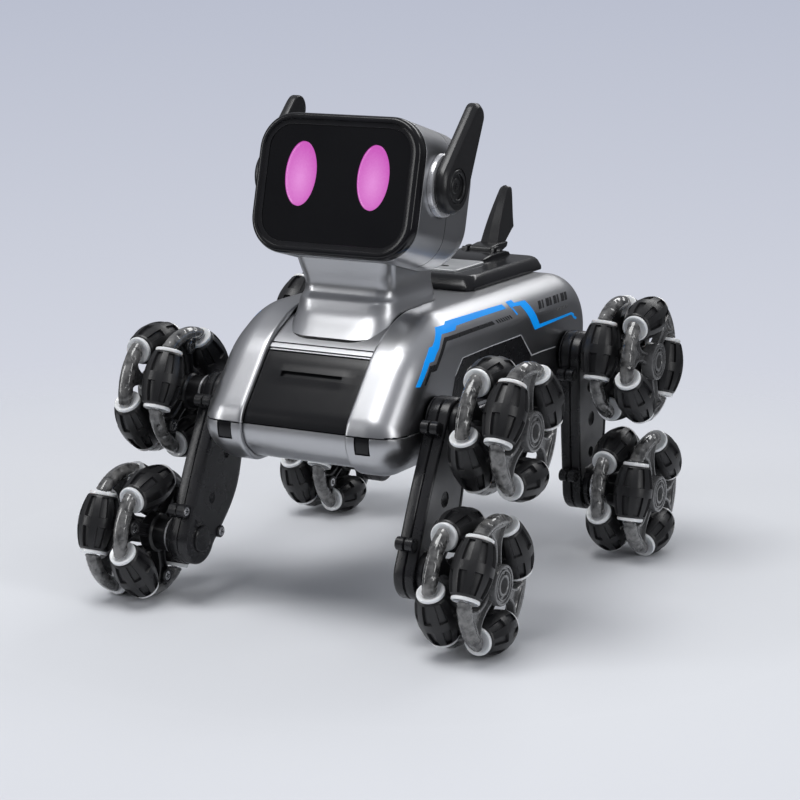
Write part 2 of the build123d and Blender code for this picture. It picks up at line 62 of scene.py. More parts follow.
BODY_HALF_WIDTH = 37.5
BODY_EDGE_RADIUS = 11.0
BODY_TOP_Z = 100.5
SHELL_WALL = 2.4
SEAM_Z = 66.0
SEAM_HALF_GAP, SEAM_BEVEL_HEIGHT, SEAM_BEVEL_DEPTH = 0.07, 0.45, 0.35
BODY_MIDDLE_Y, BODY_HALF_LENGTH = 6.0 * MM, 78
BODY_CORNERS = [
    (86.0, 51.0, 14.0), (86.0, 100.5, 21.0), (-33.0, 100.5, 34.0),
    (-50.5, 91.5, 34.0), (-74.5, 63.0, 11.5), (-60.0, 51.0, 13.0),
]
CHANNEL_HALF_WIDTH = 19.6
CHANNEL_DEPTH = 1.6
CHANNEL_REAR_Y = -20.0
PANEL_HALF_WIDTH = 19.4
PANEL_TOP_Z = 88.8
TAB_INNER_X, TAB_OUTER_X, TAB_HEIGHT = 23.2, 28.4, 5.8
PANEL_RECESS, TAB_RECESS = 4.2, 2.4
# Height above the panel of the two grooves and the raised band between them
BAND_RISES = (0.25, 0.75, 1.9, 2.4)
GROOVE_DEPTH, BAND_LIFT = 0.35, 0.12
# Only the body's front reaches past this Y
FRONT_Y = -40

FACE_PITCH = radians(14.3)
FACE_CENTRE = Vector((0, -41.5, 142.3))
HEAD_WIDTH, HEAD_HEIGHT, HEAD_DEPTH = 61.0, 47.0, 48.0
HEAD_CORNER = 12.5
HEAD_SIDE_RADIUS, HEAD_TOP_RADIUS = 13.0, 19.0
BEZEL_DEPTH = 4.0

ROW_INNER_X, ROW_OUTER_X = 58.0, 70.0
WHEEL_MIDDLE_X = 64.0
HUB_FACE_X = 74.3
ARC_RADIUS, ARC_TUBE = 19.8, 2.5
ARC_END_GAP = 0.25
ROLLER_AXIS_RADIUS = 16.1
ROLLER_HALF_LENGTH = 10.5
# Where the screwed bosses of a wheel's inboard frame stand, from the axle
BOSS_RADIUS = 16.2


# --- Meshes ------------------------------------------------------------------------------
class Shape:
    """Points and faces gathered into one mesh. A face's paint is its material's number."""

    def __init__(self):
        self.points = []
        self.faces = []
        self.paints = []

    def add(self, points, faces, paint=0, place=None):
        first = len(self.points)
        for point in points:
            self.points.append(place @ Vector(point) if place else Vector(point))
        for face in faces:
            self.faces.append([first + i for i in face])
            self.paints.append(paint)

    def skin(self, loops, paint=0, place=None, closed=True, caps=(True, True)):
        """Join loops of equal length, and cap the first and the last of them."""
        count = len(loops[0])
        points = [point for loop in loops for point in loop]
        faces = []
        for row in range(len(loops) - 1):
            for i in range(count if closed else count - 1):
                j = (i + 1) % count
                a, b = row * count, (row + 1) * count
                faces.append((a + i, a + j, b + j, b + i))
        if caps[0]:
            faces.append(tuple(range(count))[::-1])
        if caps[1]:
            last = (len(loops) - 1) * count
            faces.append(tuple(last + i for i in range(count)))
        self.add(points, faces, paint, place)

    def turned(self, profile, segments, paint=0, place=None):
        """Revolve (x, radius) points about the X axis."""
        loops = [[(x, u, v) for u, v in circle(radius, segments=segments)]
                 for x, radius in profile]
        self.skin(loops, paint, place)

    def rings(self, profile, centre=(0, 0), segments=32, paint=0, place=None, caps=(True, True)):
        """Join circles round one centre: the profile is (radius, height) pairs."""
        loops = [[(u, v, height) for u, v in circle(radius, centre, segments)]
                 for radius, height in profile]
        self.skin(loops, paint, place, caps=caps)

    def prism(self, outline, levels, paint=0, place=None, caps=(True, True)):
        """Stack copies of an outline: levels are (inset, height) pairs."""
        loops = [[(u, v, height) for u, v in inset_outline(outline, inset)]
                 for inset, height in levels]
        self.skin(loops, paint, place, caps=caps)

    def slab(self, outline, low, high, bevel, place):
        """A prism with both of its edges bevelled."""
        levels = [(bevel, low), (0, low + bevel), (0, high - bevel), (bevel, high)]
        self.prism(outline, levels, place=place)

    def plate(self, outline, holes, height, paint=0, place=None):
        """A flat face at one height, with holes in it."""
        rings = [outline] + holes
        flat = [[Vector((u, v, 0)) for u, v in ring] for ring in rings]
        points = [(u, v, height) for ring in rings for u, v in ring]
        self.add(points, tessellate_polygon(flat), paint, place)

    def mirror(self, side):
        """Mirror across the YZ plane for the right side (-1)."""
        if side < 0:
            self.points = [Vector((-p.x, p.y, p.z)) for p in self.points]

    def mesh(self, name, materials, sharp=32.0):
        data = bpy.data.meshes.new(name)
        data.from_pydata([point * MM for point in self.points], [], self.faces)
        for entry in materials:
            data.materials.append(entry)
        data.polygons.foreach_set("material_index", self.paints)
        solid = bmesh.new()
        solid.from_mesh(data)
        bmesh.ops.remove_doubles(solid, verts=solid.verts, dist=2e-6)
        bmesh.ops.dissolve_degenerate(solid, edges=solid.edges, dist=1e-6)
        bmesh.ops.recalc_face_normals(solid, faces=solid.faces)
        solid.to_mesh(data)
        solid.free()
        data.shade_smooth()
        data.set_sharp_from_angle(angle=radians(sharp))
        return data


def show(name, data):
    """A new object in the scene."""
    item = bpy.data.objects.new(name, data)
    bpy.context.scene.collection.objects.link(item)
    return item


def piece(name, body, data, place=None, stands_for=()):
    """Put a mesh in the scene on its CAD body."""
    item = show(name, data)
    if place is not None:
        item.matrix_world = place
    if body in SHIFTED_BODIES:
        data.transform(Matrix.Translation((0, BODY_SHIFT_Y * MM, 0)))
    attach(item, body)
    if stands_for:
        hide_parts(*stands_for)
    return item


def between(start, end, share):
    """The (u, v) point at this share of the way from start to end."""
    return tuple(start[n] + (end[n] - start[n]) * share for n in (0, 1))


def inset_outline(outline, amount):
    """Move an anticlockwise outline inward along its own normals."""
    if not amount:
        return list(outline)
    moved = []
    count = len(outline)
    for i, (u, v) in enumerate(outline):
        before, after = outline[i - 1], outline[(i + 1) % count]
        first = Vector((before[1] - v, u - before[0])).normalized()
        second = Vector((v - after[1], after[0] - u)).normalized()
        share = max(1 + first.dot(second), 0.35)
        step = (first + second) * (amount / share)
        moved.append((u + step.x, v + step.y))
    return moved


def rounded_outline(corners, step=5.0, stretch=4.0):
    """Round a polygon's (u, v, radius) corners, with no straight longer than stretch."""
    points = []
    count = len(corners)
    for i, (u, v, radius) in enumerate(corners):
        here = Vector((u, v))
        to_last = (Vector(corners[i - 1][:2]) - here).normalized()
        to_next = (Vector(corners[(i + 1) % count][:2]) - here).normalized()
        if radius <= 0:
            points.append((u, v))
            continue
        opening = to_last.angle(to_next)
        reach = radius / tan(opening / 2)
        centre = here + (to_last + to_next).normalized() * (radius / sin(opening / 2))
        start, end = here + to_last * reach - centre, here + to_next * reach - centre
        sweep = start.angle_signed(end)
        parts = max(2, round(degrees(abs(sweep)) / step))
        for k in range(parts + 1):
            turn = -sweep * k / parts
            spoke = Matrix.Rotation(turn, 2) @ start
            points.append(tuple(centre + spoke))
    filled = []
    for i, point in enumerate(points):
        after = points[(i + 1) % len(points)]
        parts = max(1, round(dist(point, after) / stretch))
        filled += [between(point, after, k / parts) for k in range(parts)]
    return filled


def rounded_box_loop(half_u, half_v, radius, corner_steps=10, side_steps=4):
    """An anticlockwise rounded rectangle whose points match whatever its size."""
    def arc_point(corner, quarters):
        sign_u, sign_v = ((1, 1), (-1, 1), (-1, -1), (1, -1))[corner % 4]
        turn = radians(90 * quarters)
        return (sign_u * (half_u - radius) + radius * cos(turn),
                sign_v * (half_v - radius) + radius * sin(turn))

    points = []
    for corner in range(4):
        points += [arc_point(corner, corner + k / corner_steps) for k in range(corner_steps + 1)]
        start, end = points[-1], arc_point(corner + 1, corner + 1)
        points += [between(start, end, k / side_steps) for k in range(1, side_steps)]
    return points


def circle(radius, centre=(0, 0), segments=32):
    """An anticlockwise circle."""
    turns = [2 * pi * k / segments for k in range(segments)]
    return [(centre[0] + radius * cos(a), centre[1] + radius * sin(a)) for a in turns]


def frame_of(origin, x_axis, y_axis, z_axis):
    """The matrix that carries local axes to these, at this origin."""
    matrix = Matrix((x_axis, y_axis, z_axis)).transposed().to_4x4()
    matrix.translation = Vector(origin)
    return matrix


def metres(matrix):
    """The same placement with its translation in metres."""
    moved = matrix.copy()
    moved.translation = matrix.translation * MM
    return moved


# --- Materials ---------------------------------------------------------------------------
def node(tree, kind, **settings):
    """Add a node, set its named inputs and its own fields."""
    made = tree.nodes.new(kind)
    for key, value in settings.items():
        if key in made.inputs:
            made.inputs[key].default_value = value
        else:
            setattr(made, key, value)
    return made


def noise(tree, scale, detail):
    """A noise texture in the piece's own coordinates, features about 1/scale metres."""
    place = node(tree, "ShaderNodeTexCoord")
    texture = node(tree, "ShaderNodeTexNoise", Scale=scale, Detail=detail)
    tree.links.new(place.outputs["Object"], texture.inputs["Vector"])
    return texture.outputs["Fac"]


def spread(tree, value, low, high, start=0.35, end=0.65):
    """Map a value from one range (start to end) onto another (low to high)."""
    ranger = node(tree, "ShaderNodeMapRange")
    for name, number in zip(("From Min", "From Max", "To Min", "To Max"), (start, end, low, high)):
        ranger.inputs[name].default_value = number
    tree.links.new(value, ranger.inputs["Value"])
    return ranger.outputs["Result"]


def mix_colours(tree, value, first, second):
    """Mix two colours, each a socket or a triple, by a value from 0 to 1."""
    mix = node(tree, "ShaderNodeMix", data_type="RGBA")
    sockets = [socket for socket in mix.inputs if socket.type == "RGBA"]
    for socket, colour in zip(sockets, (first, second)):
        if isinstance(colour, tuple):
            socket.default_value = (*colour, 1)
        else:
            tree.links.new(colour, socket)
    tree.links.new(value, mix.inputs["Factor"])
    return next(socket for socket in mix.outputs if socket.type == "RGBA")


# Colour of the painted shade laid into crevices
PAINTED_CREVICE_SHADE = (0.01, 0.01, 0.012)


def paint_crevice_shade(tree, colour, reach):
    """Painted shade: darken a colour in grooves, gaps and other crevices found by an
    ambient-occlusion test, up to this many metres from their bottom.
    """
    open_sky = node(tree, "ShaderNodeAmbientOcclusion", samples=6, Distance=reach)
    return mix_colours(tree, spread(tree, open_sky.outputs["AO"], 0, 1, 0.45, 0.8),
                       PAINTED_CREVICE_SHADE, colour)


def new_material(name):
    """A fresh material, with its node tree and its shader."""
    material = bpy.data.materials.new(name)
    material.use_nodes = True
    tree = material.node_tree
    return material, tree, tree.nodes["Principled BSDF"]


def moulded(name, light, dark, rough, patch=120.0, grain=4000.0, bump=0.05, crevice_shade_reach=0.0,
            **settings):
    """A plastic, rubber or paint: two tones in soft patches, uneven gloss, a fine grain and, when
    crevice_shade_reach is set, painted shade in its crevices.
    """
    material, tree, shader = new_material(name)
    patches = noise(tree, patch, 3.0)
    colour = mix_colours(tree, spread(tree, patches, 0, 1), dark, light)
    # Painted shade: darken the colour in grooves and gaps
    if crevice_shade_reach:
        colour = paint_crevice_shade(tree, colour, crevice_shade_reach)
    tree.links.new(colour, shader.inputs["Base Color"])
    wear = noise(tree, patch * 2.7, 4.0)
    tree.links.new(spread(tree, wear, rough[0], rough[1]), shader.inputs["Roughness"])
    bumper = node(tree, "ShaderNodeBump", Strength=bump, Distance=0.0002)
    tree.links.new(noise(tree, grain, 2.0), bumper.inputs["Height"])
    tree.links.new(bumper.outputs["Normal"], shader.inputs["Normal"])
    for key, value in settings.items():
        shader.inputs[key.replace("_", " ")].default_value = value
    return material


# Silver, the leg plastics and the rubber get painted shade in their crevices
SILVER = moulded("silver_paint", (0.50, 0.505, 0.52), (0.485, 0.49, 0.505), (0.31, 0.335),
                 patch=25.0, grain=12000.0, bump=0.03, crevice_shade_reach=0.0013, Metallic=1.0)
BRIGHT = moulded("bright_rim", (0.78, 0.78, 0.80), (0.70, 0.70, 0.72), (0.24, 0.30),
                 patch=40.0, grain=9000.0, bump=0.01, Metallic=0.75)
GLOSS = moulded("gloss_black", (0.008, 0.008, 0.010), (0.006, 0.006, 0.007), (0.16, 0.20),
                patch=60.0, bump=0.01, Specular_IOR_Level=0.35)
PANEL = moulded("panel_black", (0.006, 0.006, 0.007), (0.004, 0.004, 0.005), (0.17, 0.20),
                patch=25.0, grain=9000.0, bump=0.008, Specular_IOR_Level=0.35)
SATIN = moulded("satin_black", (0.012, 0.012, 0.013), (0.008, 0.008, 0.009), (0.28, 0.36),
                patch=60.0, grain=3000.0, bump=0.08)
LEG = moulded("leg_plastic", (0.012, 0.012, 0.014), (0.009, 0.009, 0.010), (0.25, 0.31),
              patch=60.0, grain=2600.0, bump=0.06, crevice_shade_reach=0.001, Specular_IOR_Level=0.4)
# Grey of the legs' outboard faces, lighter than the leg plastic: painted light for the light those
# faces catch from the side. The lettering bars on the body's sides use the same grey.
LIT_LEG_FACE_AND_PRINT_GREY = moulded("lit_leg_face_and_print_grey", (0.17, 0.17, 0.175), (0.15, 0.15, 0.155), (0.38, 0.46),
                    patch=80.0, grain=2200.0, bump=0.12, crevice_shade_reach=0.001)
SMOKE = moulded("smoke_plastic", (0.185, 0.183, 0.18), (0.040, 0.040, 0.041), (0.10, 0.18),
                patch=380.0, grain=1300.0, bump=0.2, Coat_Weight=0.8, Coat_Roughness=0.05,
                Transmission_Weight=0.1)
SPOKE = moulded("spoke_plastic", (0.15, 0.151, 0.153), (0.075, 0.075, 0.077), (0.20, 0.30),
                patch=160.0, grain=2500.0, bump=0.10, Coat_Weight=0.4, Coat_Roughness=0.12)
RUBBER = moulded("roller_rubber", (0.011, 0.011, 0.012), (0.007, 0.007, 0.008), (0.34, 0.42),
                 patch=120.0, grain=2600.0, bump=0.12, crevice_shade_reach=0.0012)
CAP = moulded("cap_white", (0.90, 0.90, 0.90), (0.80, 0.80, 0.81), (0.18, 0.26),
              patch=150.0, grain=3000.0, bump=0.03, Coat_Weight=0.3,
              Subsurface_Weight=0.05)
STEEL = moulded("screw_steel", (0.72, 0.72, 0.73), (0.45, 0.45, 0.46), (0.18, 0.30),
                patch=900.0, grain=6000.0, bump=0.08, Metallic=1.0)
PLATE_GREY = moulded("plate_grey", (0.52, 0.53, 0.54), (0.42, 0.43, 0.44), (0.30, 0.40),
                     bump=0.05, Metallic=0.5)
SCREEN = moulded("screen_glass", (0.004, 0.004, 0.005), (0.002, 0.002, 0.003), (0.10, 0.13),
                 patch=30.0, grain=9000.0, bump=0.004, IOR=1.38)
# The blue print also glows faintly: painted light, since print gives off none
GLOWING_BLUE_PRINT = moulded("print_blue_painted_glow", (0.0, 0.33, 0.92), (0.0, 0.25, 0.82), (0.42, 0.48),
               patch=40.0, bump=0.03, Specular_IOR_Level=0.25,
               Emission_Color=(0.0, 0.30, 0.87, 1), Emission_Strength=0.35)
BLACK_PRINT = moulded("print_black", (0.012, 0.012, 0.014), (0.008, 0.008, 0.009),
                      (0.25, 0.33), bump=0.03)
LIGHT_PRINT = moulded("print_light", (0.62, 0.63, 0.65), (0.55, 0.56, 0.58), (0.30, 0.36),
                      bump=0.03)
BATTERY = moulded("battery_wrap", (0.06, 0.17, 0.48), (0.04, 0.12, 0.36), (0.28, 0.4))
BOARD = moulded("board_green", (0.03, 0.24, 0.10), (0.015, 0.15, 0.06), (0.35, 0.5),
                patch=500.0)
MOTOR = moulded("motor_steel", (0.60, 0.60, 0.61), (0.45, 0.45, 0.46), (0.25, 0.4),
                Metallic=0.9)


def glowing(name, middle, edge, strength, centre, reach):
    """A lit diffuser: brightest round centre, deeper in colour towards its edge."""
    material, tree, shader = new_material(name)
    place = node(tree, "ShaderNodeTexCoord")
    mapping = node(tree, "ShaderNodeMapping", Location=[-c / r for c, r in zip(centre, reach)],
                   Scale=[1 / r for r in reach])
    tree.links.new(place.outputs["Object"], mapping.inputs["Vector"])
    length = node(tree, "ShaderNodeVectorMath", operation="LENGTH")
    tree.links.new(mapping.outputs["Vector"], length.inputs[0])
    fade = spread(tree, length.outputs["Value"], 0, 1, 0.1, 1.0)
    speckle = spread(tree, noise(tree, 1500.0, 3.0), -0.06, 0.06)
    total = node(tree, "ShaderNodeMath", operation="ADD", use_clamp=True)
    tree.links.new(fade, total.inputs[0])
    tree.links.new(speckle, total.inputs[1])
    colour = mix_colours(tree, total.outputs[0], middle, edge)
    tree.links.new(colour, shader.inputs["Emission Color"])
    shader.inputs["Base Color"].default_value = (*[0.2 * c for c in edge], 1)
    shader.inputs["Emission Strength"].default_value = strength
    shader.inputs["Roughness"].default_value = 0.2
    return material


# --- Body --------------------------------------------------------------------------------
def body_profile():
    """The body's side outline, with points exactly where its features start and end."""
    outline = rounded_outline(BODY_CORNERS, step=3.0, stretch=3.0)
    breaks = [SEAM_Z - TAB_HEIGHT, SEAM_Z, PANEL_TOP_Z + 0.1]
    breaks += [PANEL_TOP_Z + rise for rise in BAND_RISES]
    breaks += [value + 0.04 for value in breaks] + [value - 0.04 for value in breaks]
    dense = []
    for i, point in enumerate(outline):
        after = outline[(i + 1) % len(outline)]
        dense.append(point)
        if point[0] > 0:
            continue
        crossings = []
        for level in breaks:
            if (point[1] - level) * (after[1] - level) < -1e-9:
                crossings.append((level - point[1]) / (after[1] - point[1]))
        dense += [between(point, after, share) for share in sorted(crossings)]
    return dense


PROFILE = body_profile()
STEPS = inset_outline(PROFILE, 1.0)
INWARD = [Vector((s[0] - p[0], s[1] - p[1])).normalized() for s, p in zip(STEPS, PROFILE)]


def round_off(distance, reach, radius):
    """How far a rounded edge drops at this distance, when the edge ends at reach."""
    over = distance - (reach - radius)
    if over <= 0:
        return 0.0
    return radius - sqrt(max(radius**2 - over**2, 0.0))


def edge_inset(x, half_width=BODY_HALF_WIDTH, radius=BODY_EDGE_RADIUS):
    """How far the rounded side edge brings the profile in at this x."""
    return round_off(abs(x), half_width, radius)


def channel_wall(x):
    """Depth of the front channel's floor and of its rounded edge."""
    over = abs(x) - (CHANNEL_HALF_WIDTH - 0.1)
    lip = 1.0
    if over <= 0:
        return CHANNEL_DEPTH
    if over >= lip:
        return 0.0
    return lip - sqrt(lip**2 - (lip - over)**2)


def body_depth(y, z, x):
    """Depth of the channel, the panel's and tabs' recesses and the band's grooves."""
    depth = 0.0
    if y < CHANNEL_REAR_Y + 4:
        share = min(1.0, (CHANNEL_REAR_Y + 4 - y) / 4)
        depth = channel_wall(x) * share
    if y > FRONT_Y or z < SEAM_Z - TAB_HEIGHT - 0.02:
        return depth
    if abs(x) <= CHANNEL_HALF_WIDTH - 0.09:
        if SEAM_Z - 0.02 < z < PANEL_TOP_Z + 0.12:
            return PANEL_RECESS
        rise = z - PANEL_TOP_Z
        for low, high in (BAND_RISES[:2], BAND_RISES[2:]):
            if low - 0.02 < rise < high + 0.02:
                return depth + GROOVE_DEPTH
        if BAND_RISES[1] < rise < BAND_RISES[2]:
            return depth - BAND_LIFT
    if TAB_INNER_X - 0.1 < abs(x) < TAB_OUTER_X + 0.1 and z < SEAM_Z + 0.02:
        return depth + TAB_RECESS
    return depth


def half_columns(half_width, radius):
    """Distances from the middle plane at which the body is cut into loops."""
    columns = [0, 3, 6, 9, 12, 15, 17.5, 19.0, 19.48, 19.5, 19.54, 19.62, 19.78, 20.0, 20.25,
               20.5, 21.5, 22.6, 23.08, 23.12, 24.5, 26.0, 27.0, 27.8, 28.48, 28.52]
    rounded = [half_width - radius + radius * sin(radians(turn)) for turn in range(15, 91, 5)]
    return columns + [column for column in rounded if column > 28.8]


def body_skin(shape, wall):
    """The body's surface, moved in by a wall thickness."""
    half_width = BODY_HALF_WIDTH - wall
    radius = BODY_EDGE_RADIUS - wall
    columns = half_columns(half_width, radius)
    loops = []
    for x in [-c for c in columns[:0:-1]] + columns:
        loop = []
        for (y, z), inward in zip(PROFILE, INWARD):
            depth = wall + edge_inset(x, half_width, radius) + body_depth(y, z, x)
            loop.append((x, y + inward.x * depth, z + inward.y * depth))
        loops.append(loop)
    shape.skin(loops)


def shell_half(name, upper):
    """One half of the body shell, cut at the seam and closed there."""
    shape = Shape()
    body_skin(shape, 0.0)
    data = shape.mesh(name, [SILVER])
    inside = Shape()
    body_skin(inside, SHELL_WALL)
    inner = inside.mesh(name + "_inside", [SILVER])
    solid = bmesh.new()
    solid.from_mesh(inner)
    bmesh.ops.reverse_faces(solid, faces=solid.faces)
    solid.from_mesh(data)
    way = 1 if upper else -1
    rim = (SEAM_Z + way * SEAM_HALF_GAP) * MM
    softened = (SEAM_Z + way * SEAM_BEVEL_HEIGHT) * MM
    bmesh.ops.bisect_plane(solid, geom=solid.verts[:] + solid.edges[:] + solid.faces[:],
                           plane_co=(0, 0, softened), plane_no=(0, 0, 1), dist=1e-7)
    cut = bmesh.ops.bisect_plane(solid, geom=solid.verts[:] + solid.edges[:] + solid.faces[:],
                                 plane_co=(0, 0, rim), plane_no=(0, 0, way), dist=1e-7,
                                 clear_inner=True)
    edges = [g for g in cut["geom_cut"] if isinstance(g, bmesh.types.BMEdge)]
    for vert in {v for edge in edges for v in edge.verts}:
        vert.co.x *= 1 - SEAM_BEVEL_DEPTH / BODY_HALF_WIDTH
        from_middle = (vert.co.y - BODY_MIDDLE_Y) * (1 - SEAM_BEVEL_DEPTH / BODY_HALF_LENGTH)
        vert.co.y = BODY_MIDDLE_Y + from_middle
    bmesh.ops.triangle_fill(solid, edges=edges, use_beauty=True, normal=(0, 0, -way))
    solid.to_mesh(data)
    solid.free()
    bpy.data.meshes.remove(inner)
    data.shade_smooth()
    data.set_sharp_from_angle(angle=radians(32))
    return data


def front_rows(low, high):
    """Profile points on the front, between two heights, with their inward directions."""
    rows = []
    for (y, z), inward in zip(PROFILE, INWARD):
        if y < FRONT_Y and low - 1e-6 <= z <= high + 1e-6:
            rows.append((y, z, inward))
    rows.sort(key=lambda row: row[1])
    return rows


def curved_plate(shape, rows, columns, depth_at, back):
    """A plate that follows the body's front: depth_at(x, z) outside, back deep inside."""
    loops = []
    for y, z, inward in rows:
        outer, inner = [], []
        for x in columns:
            edge = edge_inset(x)
            top, bottom = edge + depth_at(x, z), edge + back
            outer.append((x, y + inward.x * top, z + inward.y * top))
            inner.append((x, y + inward.x * bottom, z + inward.y * bottom))
        loops.append(outer + inner[::-1])
    shape.skin(loops)


def interpolated(rows, heights):
    """Rows of the front at exact heights."""
    made = []
    for height in heights:
        for low, high in zip(rows, rows[1:]):
            if low[1] <= height <= high[1] and high[1] > low[1]:
                share = (height - low[1]) / (high[1] - low[1])
                inward = low[2].lerp(high[2], share).normalized()
                made.append((low[0] + (high[0] - low[0]) * share, height, inward))
                break
    return made


def front_panel_mesh():
    """The dark panel with its slot, and the two tabs at the pillars' feet."""
    shape = Shape()
    rows = front_rows(SEAM_Z - 8, PANEL_TOP_Z + 4)
    low, high = SEAM_Z + 0.12, PANEL_TOP_Z
    slot_z = PANEL_TOP_Z - 6.5
    heights = [low, low + 0.08, low + 0.3] + [low + 1 + 1.3 * k for k in range(11)]
    heights += [slot_z - 1.0, slot_z - 0.82, slot_z - 0.78, slot_z - 0.3, slot_z + 0.3,
                slot_z + 0.78, slot_z + 0.82, slot_z + 1.0]
    heights += [slot_z + 2, slot_z + 3.2, slot_z + 4.4, slot_z + 5.4, high - 0.3, high - 0.08,
                high]
    half = [0, 3, 6, 9, 10.6, 11.1, 11.38, 11.42, 11.6, 14, 17, 18.8, 19.15, 19.33, 19.4]
    columns = [-x for x in half[:0:-1]] + half

    def depth_at(x, z):
        edge = min(PANEL_HALF_WIDTH - abs(x), z - low, high - z)
        depth = 1.72 + max(0.0, 0.3 - edge) ** 2 * 4
        end = max(0.0, abs(x) - 10.7)
        if abs(z - slot_z) < 0.8 and end < 0.7:
            depth += 1.0
        elif abs(z - slot_z) < 1.1 and end < 1.0:
            depth -= 0.12
        return depth

    curved_plate(shape, interpolated(rows, sorted(heights)), columns, depth_at, 3.9)
    tab_low, tab_high = SEAM_Z - TAB_HEIGHT + 0.1, SEAM_Z - 0.08
    heights = [tab_low, tab_low + 0.1, tab_low + 0.4, tab_low + 1.2, tab_low + 2.4,
               tab_low + 3.6, tab_low + 4.8, tab_high - 0.3, tab_high]
    for side in (1, -1):
        columns = [side * x for x in (23.2, 23.3, 23.6, 24.6, 25.8, 27.0, 28.0, 28.3, 28.4)]

        def tab_depth(x, z):
            edge = min(TAB_OUTER_X - abs(x), abs(x) - TAB_INNER_X, z - tab_low)
            return 0.05 + max(0.0, 0.4 - edge) ** 2 * 3

        curved_plate(shape, interpolated(rows, heights), columns, tab_depth, 2.2)
    return shape.mesh("front_panel", [PANEL])


def side_x(y, z):
    """X of the upper shell's left side surface over (y, z), found on the finished shell."""
    hit = SHELL_TREE.ray_cast(Vector((60, y, z)), Vector((-1, 0, 0)))
    return hit[0].x


# --- Printed graphics on the sides -------------------------------------------------------
PRINT_LIFT, PRINT_DEPTH = 0.09, 0.1
PRINT_STEP, PRINT_STEP_ACROSS = 1.6, 1.5


def printed_band(shape, first_edge, second_edge, side, paint):
    """A printed area between two edges of (y, z) points, laid on the body's side."""
    def filled(edge, parts):
        return [between(a, b, k / count)
                for a, b, count in zip(edge, edge[1:], parts) for k in range(count)] + [edge[-1]]

    parts = [max(1, round(dist(a, b) / PRINT_STEP)) for a, b in zip(first_edge, first_edge[1:])]
    tops, bottoms = filled(first_edge, parts), filled(second_edge, parts)
    wide = max(dist(a, b) for a, b in zip(tops, bottoms))
    across = max(1, round(wide / PRINT_STEP_ACROSS))
    front, back = [], []
    for k in range(across + 1):
        share = k / across
        for store, up in ((front, PRINT_LIFT), (back, -PRINT_DEPTH)):
            line = []
            for a, b in zip(tops, bottoms):
                y, z = between(a, b, share)
                line.append((side * (side_x(y, z) + up), y, z))
            store.append(line)
    loops = front + back[::-1]
    loops.append(loops[0])
    shape.skin(loops, paint, closed=False, caps=(False, False))
    for end in (0, -1):
        rim = [line[end] for line in front] + [line[end] for line in back[::-1]]
        shape.add(rim, [range(len(rim))], paint)


def shifted(line, dy, dz):
    """A copy of a (y, z) line, moved."""
    return [(y + dy, z + dz) for y, z in line]


def print_mesh(name, side):
    """Blue and black livery of one side, with plain bars instead of lettering."""
    shape = Shape()
    blue_top = [(-52.4, 80.4), (-46.0, 87.5), (-41.3, 91.5), (-39.9, 91.6), (-37.8, 93.1),
                (-35.9, 94.8), (-33.8, 96.8), (-29.0, 97.0), (-27.2, 97.8), (-7.0, 97.6),
                (14.2, 97.3)]
    blue_low = [(-50.6, 80.2), (-43.9, 87.0), (-41.6, 87.2), (-39.7, 88.9), (-37.1, 90.8),
                (-35.6, 92.5), (-33.2, 94.6), (-24.8, 94.7), (-22.8, 95.8), (-4.2, 95.9),
                (15.3, 95.8)]
    tail_top = [(17.8, 97.6), (22.5, 97.6), (22.9, 96.6), (31.0, 96.3), (38.8, 86.8),
                (52.0, 86.8), (66.2, 86.9), (68.3, 86.2), (68.9, 85.2), (71.0, 84.3)]
    tail_low = [(18.4, 96.1), (20.0, 95.6), (21.9, 95.6), (26.0, 95.3), (35.0, 85.4),
                (52.0, 85.8), (65.9, 86.1), (67.3, 85.5), (68.1, 84.6), (70.4, 83.6)]
    link_top, link_low = [(19.4, 96.0), (21.9, 92.9)], [(18.4, 96.1), (20.9, 92.8)]
    black_top = [(-48.6, 80.5), (-44.8, 85.3), (-44.2, 86.0), (-40.4, 86.0), (-34.0, 92.4),
                 (-32.6, 93.5), (-16.0, 93.6), (1.9, 93.6)]
    black_low = [(-47.6, 80.3), (-43.8, 84.2), (-43.0, 83.8), (-40.4, 84.0), (-33.0, 91.5),
                 (-32.0, 92.2), (-15.6, 92.3), (3.4, 92.3)]
    bands = [(blue_top, blue_low, 0), (tail_top, tail_low, 0), (link_top, link_low, 0),
             (black_top, black_low, 1)]
    for k in range(7):
        y = 4.4 + 1.75 * k
        bands.append(([(y, 93.5), (y + 0.85, 93.5)], [(y + 1.5, 92.2), (y + 2.35, 92.2)], 1))
    area_top = [(-27.0, 79.6), (-21.6, 84.8), (0.0, 85.2), (23.4, 85.2), (31.9, 76.8)]
    area_low = [(-31.0, 67.8), (-21.0, 67.6), (0.0, 67.6), (23.0, 67.6), (28.0, 68.0)]
    rim = [(31.9, 76.8), (42.0, 76.8), (52.5, 76.5)]
    slash = [(-27.0, 79.6), (-21.6, 84.8), (0.0, 85.2), (23.4, 85.2)]
    bands += [(area_top, area_low, 1), (rim, shifted(rim, 0.0, -0.35), 2),
              (shifted(slash, -0.1, 0.3), slash, 2),
              ([(23.5, 85.5), (32.6, 76.8)], [(22.6, 85.2), (31.6, 76.5)], 2)]
    for k, width in enumerate((2.2, 1.0, 2.6, 1.4, 2.4, 1.2, 2.6, 1.8)):
        y = 39.8 + 3.2 * k
        bands.append(([(y, 94.8), (y + width, 94.8)],
                      [(y - 0.9, 92.1), (y + width - 0.9, 92.1)], 1))
    for k in range(4):
        y = 53.4 + 2.6 * k
        bands.append(([(y, 90.3), (y + 1.7, 90.3)], [(y - 0.4, 89.3), (y + 1.3, 89.3)], 3))
    for top, low, paint in bands:
        printed_band(shape, top, low, side, paint)
    return shape.mesh(name, [GLOWING_BLUE_PRINT, BLACK_PRINT, LIGHT_PRINT, LIT_LEG_FACE_AND_PRINT_GREY])


